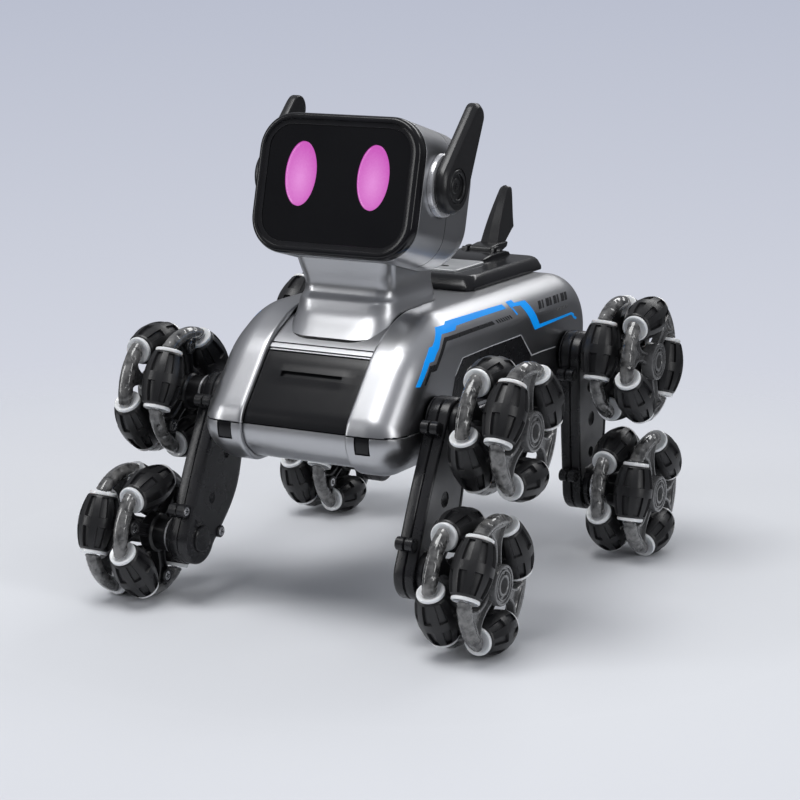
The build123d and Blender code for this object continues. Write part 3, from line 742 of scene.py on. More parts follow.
# --- Neck and head -----------------------------------------------------------------------
# Neck sections, head end first: front (y, z), rear (y, z), half width, corner radius
NECK_SECTIONS = [
    (-38.8, 120.5, -4.6, 120.5, 19.3, 5.0),
    (-37.8, 117.0, -4.0, 117.0, 18.6, 5.0),
    (-36.5, 113.0, -3.0, 113.2, 17.9, 5.0),
    (-35.4, 109.8, -2.2, 110.4, 17.4, 5.2),
    (-35.0, 107.4, -1.6, 108.0, 17.3, 5.6),
    (-35.5, 105.5, -1.0, 106.2, 17.5, 6.2),
    (-36.5, 104.4, -0.6, 105.0, 17.8, 6.8),
    (-37.6, 103.4, -0.4, 104.0, 18.2, 7.2),
    (-38.4, 101.6, -0.2, 103.2, 18.7, 8.2),
    (-39.6, 99.4, 0.0, 102.5, 19.1, 9.4),
    (-41.4, 97.2, 0.2, 101.9, 19.4, 10.4),
    (-43.8, 94.9, 0.4, 101.3, 19.5, 11.2),
    (-46.6, 92.4, 0.5, 100.8, 19.5, 12.0),
    (-46.8, 90.4, 0.5, 99.6, 19.5, 12.0),
]


def neck_mesh():
    """The neck: a cove above, a soft ridge and a tongue that flares out over the channel."""
    shape = Shape()
    loops = []
    for front_y, front_z, rear_y, rear_z, half_width, radius in NECK_SECTIONS:
        front, rear = Vector((0, front_y, front_z)), Vector((0, rear_y, rear_z))
        middle, rise = (front + rear) / 2, rear - front
        along = rise.normalized()
        loop = []
        for u, v in rounded_box_loop(half_width, rise.length / 2, radius, 12, 6):
            loop.append(tuple(middle + Vector((u, 0, 0)) + along * v))
        loops.append(loop)
    shape.skin(refine(loops[:-1], 3), caps=(True, False))
    # The last band, where the tongue sinks into the channel floor, is dark satin: painted shade
    # for the shadowed gap at the neck's foot
    shape.skin(loops[-2:], 1, caps=(False, True))
    return shape.mesh("neck_shell", [SILVER, SATIN])


def refine(loops, parts):
    """Add in-between loops on a smooth curve through these."""
    made = []
    for i in range(len(loops) - 1):
        before, after = loops[max(i - 1, 0)], loops[min(i + 2, len(loops) - 1)]
        for k in range(parts):
            t = k / parts
            loop = []
            for a, b, c, d in zip(before, loops[i], loops[i + 1], after):
                point = []
                for p0, p1, p2, p3 in zip(a, b, c, d):
                    point.append(0.5 * (2 * p1 + (p2 - p0) * t
                                        + (2 * p0 - 5 * p1 + 4 * p2 - p3) * t**2
                                        + (3 * p1 - p0 - 3 * p2 + p3) * t**3))
                loop.append(tuple(point))
            made.append(loop)
    return made + [loops[-1]]


FACE_UP = Vector((0, sin(FACE_PITCH), cos(FACE_PITCH)))
FACE_OUT = Vector((0, -cos(FACE_PITCH), sin(FACE_PITCH)))
FACE = frame_of(FACE_CENTRE, (1, 0, 0), FACE_UP, FACE_OUT)


def head_loop(depth, inset=0.0):
    """One rounded section of the head, this deep behind the face."""
    half_u = HEAD_WIDTH / 2 - round_off(depth, HEAD_DEPTH, HEAD_SIDE_RADIUS) - inset
    half_v = HEAD_HEIGHT / 2 - round_off(depth, HEAD_DEPTH, HEAD_TOP_RADIUS) - inset
    corner = min(HEAD_CORNER - inset, half_v - 0.01)
    return [(u, v, -depth) for u, v in rounded_box_loop(half_u, half_v, corner, 14, 8)]


def head_mesh():
    """The silver head: outer skin, rim behind the bezel, inner skin, and one seam."""
    shape = Shape()
    front = BEZEL_DEPTH + 0.12
    seam = 23.0
    rear_start = HEAD_DEPTH - HEAD_TOP_RADIUS
    arc = [rear_start + HEAD_TOP_RADIUS * sin(radians(a)) for a in range(6, 91, 4)]
    arc.append(HEAD_DEPTH)
    depths = [front + 0.25, 8.0, 13.0, 18.0, seam - 0.14]
    after = [depth for depth in arc if depth > seam + 0.3]
    loops = [head_loop(front, 0.3)] + [head_loop(depth) for depth in depths]
    loops += [head_loop(seam - 0.1, 0.35), head_loop(seam + 0.1, 0.35), head_loop(seam + 0.14)]
    loops += [head_loop(depth) for depth in after]
    inner = []
    for depth in arc[::-1] + [18.0, 8.0, front]:
        back = SHELL_WALL if depth > 18 else 0.0
        inner.append([(u, v, w + back) for u, v, w in head_loop(depth, SHELL_WALL)])
    shape.skin(loops, caps=(False, True), place=FACE)
    shape.skin(inner + [loops[0]], caps=(True, False), place=FACE)
    return shape.mesh("head_shell", [SILVER])


def bezel_mesh():
    """The black frame round the screen, rounded outside and stepped inside."""
    shape = Shape()
    levels = [(0.0, -BEZEL_DEPTH), (0.0, -2.4), (0.08, -1.6), (0.3, -0.85), (0.65, -0.3),
              (1.1, -0.05), (1.5, 0.0), (2.2, 0.0), (2.32, -0.06), (2.4, -0.5), (2.7, -0.58),
              (3.9, -0.6), (4.0, -0.7), (4.0, -2.6), (4.0, -BEZEL_DEPTH)]
    loops = []
    for inset, height in levels:
        loop = rounded_box_loop(HEAD_WIDTH / 2 - inset, HEAD_HEIGHT / 2 - inset,
                                HEAD_CORNER - inset, 16, 8)
        loops.append([(u, v, height) for u, v in loop])
    shape.skin(loops + [loops[0]], caps=(False, False), place=FACE)
    return shape.mesh("face_bezel", [GLOSS])


EYE_HALF = (5.85, 10.7)
EYE_X, EYE_RISE = 13.6, 3.2
SCREEN_DEPTH, SCREEN_INSET = 0.9, 4.1


def eye_outline(side, grow=0.0):
    """One eye's ellipse on the face."""
    return [(side * EYE_X + (EYE_HALF[0] + grow) * u, EYE_RISE + (EYE_HALF[1] + grow) * v)
            for u, v in circle(1, segments=56)]


def screen_mesh():
    """The black glass with an opening for each eye."""
    shape = Shape()
    outline = rounded_box_loop(HEAD_WIDTH / 2 - SCREEN_INSET, HEAD_HEIGHT / 2 - SCREEN_INSET,
                               HEAD_CORNER - SCREEN_INSET, 12, 8)
    holes = [eye_outline(side, 0.12) for side in (1, -1)]
    for height in (-SCREEN_DEPTH, -SCREEN_DEPTH - 1.6):
        shape.plate(outline, holes, height, place=FACE)
    for ring in [outline] + holes:
        walls = [[(u, v, h) for u, v in ring] for h in (-SCREEN_DEPTH, -SCREEN_DEPTH - 1.6)]
        shape.skin(walls, caps=(False, False), place=FACE)
    return shape.mesh("face_screen", [SCREEN])


def eye_mesh(name, side, material):
    """One lit eye, a shallow dome in its opening."""
    shape = Shape()
    outline = eye_outline(side)
    loops = []
    for share, height in ((1, -2.4), (1, -1.12), (0.97, -1.0), (0.9, -0.94), (0.7, -0.9),
                          (0.4, -0.87), (0.1, -0.86)):
        loops.append([(side * EYE_X + (u - side * EYE_X) * share,
                       EYE_RISE + (v - EYE_RISE) * share, height) for u, v in outline])
    shape.skin(loops, place=FACE)
    return shape.mesh(name, [material])


def ear_disc_mesh(name, side):
    """The bright disc an ear turns on."""
    shape = Shape()
    place = frame_of((0, EAR_PIVOT[0], EAR_PIVOT[1]), (side, 0, 0), (0, 1, 0), (0, 0, 1))
    shape.turned([(26.7, 9.0), (26.7, 10.9), (28.4, 10.9), (28.6, 10.45), (31.7, 10.45),
                  (32.1, 10.3), (32.3, 9.9), (32.3, 2.2)], 96, place=place)
    return shape.mesh(name, [BRIGHT], 40)


# --- Ears --------------------------------------------------------------------------------
def hinge_spot(joint):
    """(y, z) of a hinge on the body, from the body's own zero."""
    spot = joints[joint]["pos_m"]
    return spot[1] / MM - BODY_SHIFT_Y, spot[2] / MM


EAR_PIVOT = hinge_spot("ear_left_tilt")
EAR_TIP = (-8.4, 163.3)
EAR_BASE_RADIUS, EAR_TIP_RADIUS = 9.2, 4.6
EAR_INNER_X, EAR_PIN_END_X = 32.5, 27.5
EAR_FACE = 4.0


def ear_outline():
    """Teardrop round the pivot and the tip, in (y, z) from the pivot."""
    tip = Vector((EAR_TIP[0] - EAR_PIVOT[0], EAR_TIP[1] - EAR_PIVOT[1]))
    lean = (EAR_BASE_RADIUS - EAR_TIP_RADIUS) / tip.length
    heading = Vector((1, 0)).angle_signed(tip) * -1
    half = Vector((lean, sqrt(1 - lean**2))).angle(Vector((1, 0)))
    points = []
    for k in range(37):
        turn = heading + half + (2 * pi - 2 * half) * k / 36
        points.append((EAR_BASE_RADIUS * cos(turn), EAR_BASE_RADIUS * sin(turn)))
    for k in range(17):
        turn = heading - half + 2 * half * k / 16
        points.append((tip.x + EAR_TIP_RADIUS * cos(turn), tip.y + EAR_TIP_RADIUS * sin(turn)))
    return points


def ear_mesh(name, side):
    """One ear: a bevelled blade with a stepped hub and its pin."""
    shape = Shape()
    place = Matrix((
        (0, 0, side, 0), (1, 0, 0, EAR_PIVOT[0]), (0, 1, 0, EAR_PIVOT[1]), (0, 0, 0, 1)))
    outline = ear_outline()
    levels = [(0.5, 0), (0.1, 0.25), (0, 0.6), (0, 2.6), (0.12, 2.85), (1.2, 3.85), (1.45, 3.98),
              (1.7, EAR_FACE)]
    levels = [(inset, EAR_INNER_X + height) for inset, height in levels]
    shape.prism(outline, levels, place=place, caps=(True, False))
    shape.plate(inset_outline(outline, 1.7), [circle(6.1)], EAR_INNER_X + EAR_FACE, place=place)
    hub = [(6.1, 0.0), (6.05, -0.37), (5.7, -0.45), (5.5, -0.07), (5.3, 0.13), (4.5, 0.13),
           (4.3, -0.02), (4.2, -0.77), (4.0, -0.87), (2.7, -0.87), (2.55, -0.67), (2.3, -0.52),
           (1.2, -0.52), (1.0, -0.87), (0.7, -1.57), (0.0, -1.57)]
    hub = [(max(radius, 0.001), EAR_INNER_X + (EAR_FACE + height)) for radius, height in hub]
    shape.rings(hub, place=place, caps=(False, True))
    shape.rings([(2.0, EAR_PIN_END_X), (2.0, EAR_INNER_X + 0.2)], place=place)
    return shape.mesh(name, [SATIN])


# --- Saddle and tail ---------------------------------------------------------------------
SADDLE_LOW_Z = BODY_TOP_Z + 0.1
# Carries (y, z, x) outlines seen from the side to the frame
SIDE_PLACE = Matrix(((0, 0, 1, 0), (1, 0, 0, 0), (0, 1, 0, 0), (0, 0, 0, 1)))


def saddle_mesh():
    """The dark saddle with a slanted front, a hatch plate and a raised block at its rear."""
    shape = Shape()
    rings = [  # (height, front y, rear y, half width, corner)
        (0.0, 14.6, 76.0, 21.9, 3.5), (0.25, 14.5, 76.2, 22.0, 3.6), (1.3, 15.2, 76.2, 22.0, 3.8),
        (3.4, 17.6, 75.6, 21.0, 4.0), (4.3, 18.7, 74.8, 20.3, 4.0), (4.7, 19.6, 74.0, 19.6, 4.0),
        (4.8, 20.6, 73.2, 18.8, 4.0),
    ]
    loops = []
    for height, front, rear, half_width, corner in rings:
        half = (rear - front) / 2
        loop = rounded_box_loop(half_width, half, corner, 8, 6)
        loops.append([(u, front + half + v, SADDLE_LOW_Z + height) for u, v in loop])
    shape.skin(loops)
    top = SADDLE_LOW_Z + 4.8
    hatch = rounded_box_loop(11.5, 12.0, 2.0, 6, 3)
    place = Matrix.Translation((0, 36.0, 0))
    levels = [(0, top - 0.5), (0, top + 0.5), (0.3, top + 0.75), (0.9, top + 0.8)]
    shape.prism(hatch, levels, 1, place)
    for x in (-3.2, 3.2):
        mark = rounded_box_loop(2.0, 0.7, 0.6, 5, 2)
        shape.prism(mark, [(0, top + 0.7), (0, top + 0.95), (0.2, top + 1.05)], 0,
                    Matrix.Translation((x, 31.0, 0)))
    block = [(48.0, top - 0.5), (74.5, top - 0.5), (73.0, top + 0.9), (70.0, top + 1.6),
             (58.0, top + 1.6), (50.0, top + 0.7)]
    shape.slab(block, -9.0, 9.0, 0.3, SIDE_PLACE)
    return shape.mesh("back_saddle", [GLOSS, PLATE_GREY])


TAIL_PIN = hinge_spot("tail_tilt")


def tail_bracket_mesh():
    """The lugs, the knobbed pin and the clips that hold the tail."""
    shape = Shape()
    y, z = TAIL_PIN
    lug = rounded_outline([(y - 5.0, 103.5, 0.6), (y + 5.0, 103.5, 0.6), (y + 2.2, z + 2.2, 2.0),
                           (y - 2.2, z + 2.2, 2.0)], 15, 9)
    for side in (1, -1):
        low, high = sorted((side * 4.9, side * 6.2))
        shape.slab(lug, low, high, 0.25, SIDE_PLACE)
    place = Matrix.Translation((0, y, z))
    shape.turned([(-8.2, 0.4), (-8.2, 0.9), (-7.9, 1.5), (-6.6, 1.5), (-6.3, 1.2), (6.3, 1.2),
                  (6.6, 1.5), (7.9, 1.5), (8.2, 0.9), (8.2, 0.4)], 24, 0, place)
    return shape.mesh("tail_bracket", [SATIN])


def tail_mesh():
    """The fin: two thin walls that meet along a rounded front edge and are open behind."""
    shape = Shape()
    low_y, low_z = 73.2, 108.2
    tip_y, tip_z = 86.4, 129.0
    steps = 28
    for side in (1, -1):
        front, edge, rear, inner_rear, inner_edge = [], [], [], [], []
        for k in range(steps + 1):
            t = k / steps
            bow = 1.3 * sin(pi * t) * (1 - 0.3 * t)
            y = low_y + (tip_y - low_y) * t - bow
            z = low_z + (tip_z - low_z) * t
            taper = sqrt(max(1 - ((t - 0.93) / 0.07) ** 2, 0.0)) if t > 0.93 else 1.0
            half = (3.6 * (1 - t) + 1.5 * t) * max(taper, 0.25)
            back = y + (13.2 * (1 - t) ** 0.8 + 3.0 * taper + 0.4)
            if t <= 0.24:
                back = y + 7.6 + 24.0 * t
            front.append((0, y - 0.5, z))
            edge.append((side * half, y + 0.8, z))
            rear.append((side * half * 0.92, back, z))
            inner_rear.append((side * max(half * 0.92 - 1.1, 0.12), back, z))
            inner_edge.append((side * max(half - 1.3, 0.12), y + 2.2, z))
        inner_front = [(0, p[1] + 1.9, p[2]) for p in front]
        rows = [front, edge, rear, inner_rear, inner_edge, inner_front]
        columns = [[row[k] for row in rows] for k in range(steps + 1)]
        shape.skin(columns, closed=True)
    y, z = TAIL_PIN
    corners = [(y - 2.2, z - 1.6, 1.4), (y + 2.6, z - 2.2, 1.4), (80.5, 106.9, 0.8),
               (81.5, 108.9, 0.5), (73.0, 109.0, 0.5), (y - 1.6, z + 2.0, 1.6)]
    foot = rounded_outline(corners, 15, 9)
    shape.slab(foot, -4.5, 4.5, 0.3, SIDE_PLACE)
    return shape.mesh("tail_fin", [SATIN])


# --- Legs --------------------------------------------------------------------------------
def hermite(points, start_slope, end_slope, parts):
    """Points on a smooth curve through three points with set directions at its ends."""
    made = []
    (a, b, c) = [Vector(p) for p in points]
    first, second = (b - a).length, (c - b).length
    slope_a = Vector(start_slope).normalized() * first
    slope_c = Vector(end_slope).normalized() * second
    slope_b = (c - a) * 0.5
    for p, q, mp, mq in ((a, b, slope_a, slope_b), (b, c, slope_b, slope_c)):
        for k in range(parts):
            t = k / parts
            point = (p * (2 * t**3 - 3 * t**2 + 1) + mp * (t**3 - 2 * t**2 + t)
                     + q * (3 * t**2 - 2 * t**3) + mq * (t**3 - t**2))
            made.append(tuple(point))
    return made


def leg_outline():
    """Side outline of a leg about its foot axle: u is rearward, v runs up the leg."""
    foot, hip, middle = 8.8, 8.4, LEG_LENGTH / 2
    points = []
    for k in range(28):
        turn = pi + pi * k / 28
        points.append((foot * cos(turn), foot * sin(turn)))
    points += hermite([(foot, 0), (15.5, middle - 2), (hip, LEG_LENGTH)], (0.35, 1), (-0.35, 1), 9)
    for k in range(28):
        turn = pi * k / 28
        points.append((hip * cos(turn), LEG_LENGTH + hip * sin(turn)))
    points += hermite([(-hip, LEG_LENGTH), (-9.2, middle), (-foot, 0)], (0, -1), (0, -1), 9)
    return points


LEG_OUTLINE = leg_outline()
LEG_SEAM_X = 43.0
LUG_U, LUG_VS = -11.2, (6.8, 45.0)
REAR_LUG = (10.6, 5.0)


def leg_place(corner):
    """Carries leg coordinates (rearward, up the leg, outboard of the seam) to the frame."""
    side = CORNERS[corner]
    hip = joints[f"{corner}_leg_swing"]["pos_m"]
    foot = joints[f"wheel_{corner}_lower"]["pos_m"]
    up = Vector((0, hip[1] - foot[1], hip[2] - foot[2])).normalized()
    back = Vector((0, up.z, -up.y))
    return Matrix((
        (0, 0, side, side * LEG_SEAM_X), (back.y, up.y, 0, foot[1] / MM),
        (back.z, up.z, 0, foot[2] / MM),
        (0, 0, 0, 1)))


def dimpled_plate(shape, inset, holes, dimples, top, depth, paint, place):
    """A leg's flat face with large holes and shallow hollows: dimples are (u, v, radius)."""
    holes = holes + [circle(radius, (u, v)) for u, v, radius in dimples]
    shape.plate(inset_outline(LEG_OUTLINE, inset), holes, top, paint, place)
    for u, v, radius in dimples:
        profile = [(radius, 0), (radius * 0.93, 0.35), (radius * 0.6, 0.8), (0.01, 1.0)]
        profile = [(ring, top - depth * share) for ring, share in profile]
        shape.rings(profile, (u, v), 32, 0, place, (False, True))


def screw(shape, centre, radius, top, place):
    """A cross-head screw whose head faces down, towards the body's middle."""
    u0, v0 = centre
    profile = [(radius, -0.7), (radius, -0.12), (radius * 0.9, 0.0), (radius * 0.55, 0.1)]
    profile = [(ring, top - rise) for ring, rise in profile]
    slot, arm = radius * 0.17, radius * 0.62
    cross = [(slot, slot), (slot, arm), (-slot, arm), (-slot, slot), (-arm, slot), (-arm, -slot),
             (-slot, -slot), (-slot, -arm), (slot, -arm), (slot, -slot), (arm, -slot), (arm, slot)]
    cross = [(u0 + u, v0 + v) for u, v in cross]
    shape.rings(profile, centre, 24, 0, place, (True, False))
    shape.plate(circle(radius * 0.86, centre, 24), [cross], top - 0.06, 0, place)
    walls = [[(u, v, top - h) for u, v in cross] for h in (0.06, -0.45)]
    shape.skin(walls, 0, place, caps=(False, True))


def lug_shapes(shape, low, high, place):
    """Short screw bosses along the leg's edges, with webs back to the shell."""
    u = LUG_U
    for v in LUG_VS:
        boss = circle(2.2, (u, v), 28)
        levels = [(0.35, low), (0.0, low + 0.3), (0.0, high - 0.3), (0.35, high)]
        shape.prism(boss, levels, 0, place)
        web = [(u + 0.4, v - 1.7), (u + 3.4, v - 2.3), (u + 3.4, v + 2.3), (u + 0.4, v + 1.7)]
        shape.prism(web, [(0.0, low + 0.5), (0.0, high - 0.5)], 0, place)


def leg_outer_mesh(corner):
    """The outboard half shell, with its plate painted a lighter grey for the light it catches, and
    dimples.
    """
    shape = Shape()
    place = leg_place(corner)
    levels = [(0.45, 0.06), (0.0, 0.45), (0.0, 3.0), (0.12, 3.3), (0.45, 3.6), (1.2, 3.62),
              (1.5, 3.3), (1.9, 3.3)]
    shape.prism(LEG_OUTLINE, levels, 0, place, caps=(True, False))
    holes = [circle(7.2), circle(6.9, (0, LEG_LENGTH))]
    dimples = [(1.6, 12.5, 2.1), (2.6, 25.0, 2.7), (1.6, 37.5, 2.1)]
    # Paint 1 gives this face its lighter grey: painted light
    dimpled_plate(shape, 1.9, holes, dimples, 3.3, 1.1, 1, place)
    for centre, radius in (((0, 0), 7.2), ((0, LEG_LENGTH), 6.9)):
        rings = [(radius, 3.3), (radius, 5.4), (radius - 0.3, 5.75), (radius - 1.2, 5.8),
                 (radius - 1.4, 5.4), (radius - 1.6, 2.4), (2.6, 2.4)]
        shape.rings(rings, centre, 48, 0, place, (False, True))
    lug_shapes(shape, 0.15, 3.2, place)
    return shape.mesh(f"{corner}_leg_outer", [LEG, LIT_LEG_FACE_AND_PRINT_GREY])


def leg_inner_mesh(corner):
    """The inboard half shell, with the hip collar, the foot's cap and a small boss."""
    shape = Shape()
    place = leg_place(corner)
    levels = [(0.45, -0.06), (0.0, -0.45), (0.0, -3.0), (0.12, -3.4), (0.45, -3.8), (1.1, -4.0),
              (2.0, -4.0)]
    shape.prism(LEG_OUTLINE, levels, 0, place, caps=(True, False))
    holes = [circle(4.7), circle(6.6, (0, LEG_LENGTH))]
    dimples = [(1.0, 14.5, 1.9), (3.4, 31.0, 1.9)]
    dimpled_plate(shape, 2.0, holes, dimples, -4.0, -0.8, 0, place)
    cap = [(4.7, -4.0), (4.7, -3.7), (4.45, -3.65), (4.4, -4.7), (4.1, -5.0), (3.0, -5.07),
           (0.01, -5.1)]
    shape.rings(cap, (0, 0), 48, 0, place, (False, True))
    collar = [(6.6, -4.0), (8.0, -4.0), (8.0, -4.45), (7.8, -4.65), (7.0, -4.75), (6.0, -4.75),
              (3.4, -4.8), (3.4, -10.0), (0.01, -10.0)]
    shape.rings(collar, (0, LEG_LENGTH), 48, 0, place, (False, True))
    lug_shapes(shape, -3.2, -0.15, place)
    u, v = REAR_LUG
    boss = circle(2.1, (u, v), 28)
    shape.prism(boss, [(0.3, -0.2), (0.0, -0.5), (0.0, -4.4), (0.3, -4.7)], 0, place)
    return shape.mesh(f"{corner}_leg_inner", [LEG])


def leg_screws_mesh(corner):
    """Screws that hold the two half shells together, driven from inboard."""
    shape = Shape()
    place = leg_place(corner)
    for centre, top in (((LUG_U, LUG_VS[0]), -3.3), ((LUG_U, LUG_VS[1]), -3.3),
                        (REAR_LUG, -4.8)):
        screw(shape, centre, 1.5, top, place)
    return shape.mesh(f"{corner}_leg_screws", [STEEL])


# --- Wheels ------------------------------------------------------------------------------
def tube_arc(shape, x, middle_angle, paint):
    """One glossy rim arc: a tube with a mould seam and small sunk marks, rounded at its ends."""
    end_plane = ROLLER_HALF_LENGTH + ARC_END_GAP
    steps, sides = 40, 28
    loops = []
    for k in range(steps + 1):
        t = 2 * k / steps - 1
        end = max(0.0, abs(t) - 0.955) / 0.045
        shrink = 1 - 0.28 * end**2
        waist = 1 - 0.05 * (0.80 < abs(t) < 0.86)
        loop = []
        for n in range(sides):
            turn = 2 * pi * n / sides
            radius = ARC_TUBE * shrink * waist
            if n in (0, sides // 2):
                radius -= 0.14
            marked = n in (3, 4, sides - 4, sides - 3)
            if marked and (abs(abs(t) - 0.42) < 0.05 or abs(t) < 0.05):
                radius -= 0.38
            r = ARC_RADIUS + radius * cos(turn)
            angle = radians(middle_angle) + t * (pi / 3 - asin(end_plane / r))
            loop.append((x + radius * sin(turn), r * cos(angle), r * sin(angle)))
        loops.append(loop)
    shape.skin(loops, paint)


def spoke_outline(root, reach):
    """Outline of a spoke along u: narrow by the hub, flaring where it meets the arc."""
    upper = [(root, 2.3), (8.5, 1.95), (11.0, 1.95), (13.2, 2.3), (15.0, 3.1), (16.4, 4.6),
             (reach, 6.6)]
    return [(u, -v) for u, v in upper] + upper[::-1]


def spoke_place(x, angle):
    """Carries (outward, along the rim, height) to the wheel's frame at this angle."""
    turn = radians(angle)
    return Matrix((
        (0, 0, 1, x), (cos(turn), -sin(turn), 0, 0), (sin(turn), cos(turn), 0, 0), (0, 0, 0, 1)))


def wheel_outer_mesh(name, side):
    """The outboard frame in smoky plastic: hub disc, ribbed spokes and rim arcs."""
    shape = Shape()
    for step in range(3):
        angle = 120.0 * step
        tube_arc(shape, ROW_OUTER_X - WHEEL_MIDDLE_X, angle, 1)
        outline = spoke_outline(4.0, 18.9)
        levels = [(0.3, -1.3), (0.0, -1.0), (0.0, 1.6), (0.25, 1.9), (0.85, 1.9), (1.1, 0.7)]
        shape.prism(outline, levels, 0, spoke_place(ROW_OUTER_X - WHEEL_MIDDLE_X + 0.4, angle))
    disc = HUB_FACE_X - WHEEL_MIDDLE_X
    profile = [(4.6, 2.4), (4.6, 6.2), (4.2, 6.7), (0.5, 6.7), (0.15, 6.55), (0.05, 6.3),
               (0.05, 5.75), (0.5, 5.6), (0.55, 5.1), (0.1, 4.95), (0.08, 4.55), (0.6, 4.4),
               (0.65, 3.6), (0.1, 3.45), (0, 3.2), (0, 2.75), (0.2, 2.55), (2.2, 2.4),
               (2.2, 0.01)]
    shape.turned([(disc - behind, radius) for behind, radius in profile], 64)
    for step in range(6):
        turn = radians(60 * step + 30)
        spot = Matrix.Translation((disc - 0.62, 4.0 * cos(turn), 4.0 * sin(turn)))
        shape.turned([(-0.2, 0.42), (0.25, 0.42), (0.35, 0.3), (0.35, 0.01)], 10, 2, spot)
    shape.mirror(side)
    return shape.mesh(name, [SPOKE, SMOKE, SATIN])


def wheel_inner_mesh(name, side):
    """The inboard frame: black core, hub collar, lobed spider with bosses, smoky arcs."""
    shape = Shape()
    middle = ROW_INNER_X - WHEEL_MIDDLE_X
    for step in range(3):
        angle = 60.0 + 120.0 * step
        tube_arc(shape, middle, angle, 1)
        outline = spoke_outline(4.0, 18.7)
        levels = [(0.3, 1.3), (0.0, 1.0), (0.0, -1.8), (0.3, -2.1), (0.9, -2.1), (1.15, -1.2)]
        shape.prism(outline, levels, 0, spoke_place(middle, angle))
        turn = radians(angle)
        spot = Matrix.Translation(
            (middle - 3.0, BOSS_RADIUS * cos(turn), BOSS_RADIUS * sin(turn)))
        shape.turned([(2.5, 2.5), (0.0, 2.5), (-0.3, 2.2), (-0.3, 1.8), (0.1, 1.7), (0.1, 0.01)],
                     28, 0, spot)
    core = [(-14.9, 2.0), (-14.9, 5.3), (-14.5, 5.7), (-9.2, 5.8), (-8.9, 6.3), (-8.4, 6.7),
            (-4.8, 6.7), (-4.2, 6.2), (-3.6, 4.6), (-2.0, 4.4), (2.0, 4.4), (4.0, 4.8),
            (5.8, 4.8), (5.8, 2.0), (5.8, 0.01)]
    shape.turned(core, 56, 0)
    shape.turned([(-15.1, 4.5), (-15.1, 6.1), (-14.9, 6.35), (-14.3, 6.35), (-14.1, 6.1),
                  (-14.1, 4.5)], 56, 2)
    shape.turned([(-23.0, 2.0), (-14.4, 2.0)], 24, 0)
    shape.mirror(side)
    return shape.mesh(name, [SATIN, SMOKE, BRIGHT])


def wheel_screws_mesh(name, side):
    """Three cross-head screws that face inboard on the spider's bosses."""
    shape = Shape()
    middle = ROW_INNER_X - WHEEL_MIDDLE_X
    for step in range(3):
        place = spoke_place(0, 60.0 + 120.0 * step)
        screw(shape, (BOSS_RADIUS, 0), 1.75, middle - 3.1, place)
    shape.mirror(side)
    return shape.mesh(name, [STEEL])


def roller_radius(z):
    """A roller's radius, so that it follows the wheel's rim."""
    return sqrt(WHEEL_RADIUS**2 - z**2) - ROLLER_AXIS_RADIUS


def roller_mesh():
    """A barrel of rubber with two rings of sunk treads and a white dished cap at each end."""
    shape = Shape()
    treads, wide, depth = 8, 21.0, 0.95
    heights = [-9.3, -9.1, -8.55, -8.4, -8.1, -6.4, -4.8, -3.2, -1.95, -1.75, -1.6, -0.8, 0]
    heights += [-h for h in heights[-2::-1]]
    turns = []
    for k in range(treads):
        middle = 360.0 / treads * k
        for offset in (-wide / 2 - 1.4, -wide / 2, -wide / 4, 0, wide / 4, wide / 2,
                       wide / 2 + 1.4, wide / 2 + 7.5):
            turns.append((middle + offset, abs(offset) <= wide / 2))
    loops = []
    for z in heights:
        sunk_row = 1.7 < abs(z) < 8.45
        edge = 0.35 if abs(z) > 9.2 else (0.08 if abs(z) > 9.0 else 0.0)
        loop = []
        for turn, sunk in turns:
            radius = roller_radius(z) - edge
            if sunk and sunk_row:
                radius -= depth * min(1.0, 0.55 + 0.45 * (1 - abs(abs(z) - 5) / 3.6) + 0.3)
            loop.append((radius * cos(radians(turn)), radius * sin(radians(turn)), z))
        loops.append(loop)
    shape.skin(loops, 0)
    for way in (1, -1):
        cap = [(3.0, 9.1), (4.42, 9.1), (4.62, 9.35), (4.68, 9.8), (4.6, 10.25), (4.35, 10.48),
               (3.95, 10.45), (3.3, 10.05), (2.4, 9.8), (1.25, 9.7), (1.25, 9.2)]
        shape.rings([(radius, way * height) for radius, height in cap], (0, 0), 40, 1)
        shape.rings([(1.05, way * 9.2), (1.05, way * 11.4)], (0, 0), 14, 2)
    return shape.mesh("roller", [RUBBER, CAP, STEEL])


# --- Assembly ----------------------------------------------------------------------------
UPPER_SHELL = shell_half("body_upper", True)
SHELL_TREE = BVHTree.FromPolygons([vertex.co / MM for vertex in UPPER_SHELL.vertices],
                                  [tuple(face.vertices) for face in UPPER_SHELL.polygons])
piece("body_upper", "torso", UPPER_SHELL, stands_for=["body_upper_shell"])
piece("body_lower", "torso", shell_half("body_lower", False),
      stands_for=["body_lower_shell"])
piece("dark_front_panel", "torso", front_panel_mesh(), stands_for=["front_panel"])
for label, side in SIDES:
    piece(f"side_print_{label}", "torso", print_mesh(f"side_print_{label}", side))
piece("neck", "torso", neck_mesh(), stands_for=["neck_shell"])
piece("head", "torso", head_mesh(), stands_for=["head_shell"])
piece("bezel", "torso", bezel_mesh(), stands_for=["face_bezel"])
piece("screen", "torso", screen_mesh(), stands_for=["face_screen"])
for label, side in SIDES:
    centre = FACE @ Vector((side * EYE_X, EYE_RISE - 2.0, -1)) + Vector((0, BODY_SHIFT_Y, 0))
    glow = glowing(f"eye_glow_{label}", (0.68, 0.25, 0.62), (0.50, 0.08, 0.42), 1.0,
                   tuple(centre * MM), (0.0068, 0.0118, 0.0118))
    piece(f"eye_{label}", "torso", eye_mesh(f"eye_{label}", side, glow),
          stands_for=["eye_lights"])
    piece(f"ear_disc_{label}", "torso", ear_disc_mesh(f"ear_disc_{label}", side))
    piece(f"ear_blade_{label}", f"{label}_ear", ear_mesh(f"ear_blade_{label}", side),
          stands_for=[f"ear_{label}"])
piece("saddle", "torso", saddle_mesh(), stands_for=["back_saddle"])
piece("tail_bracket", "torso", tail_bracket_mesh())
piece("tail", "tail", tail_mesh(), stands_for=["tail_fin"])

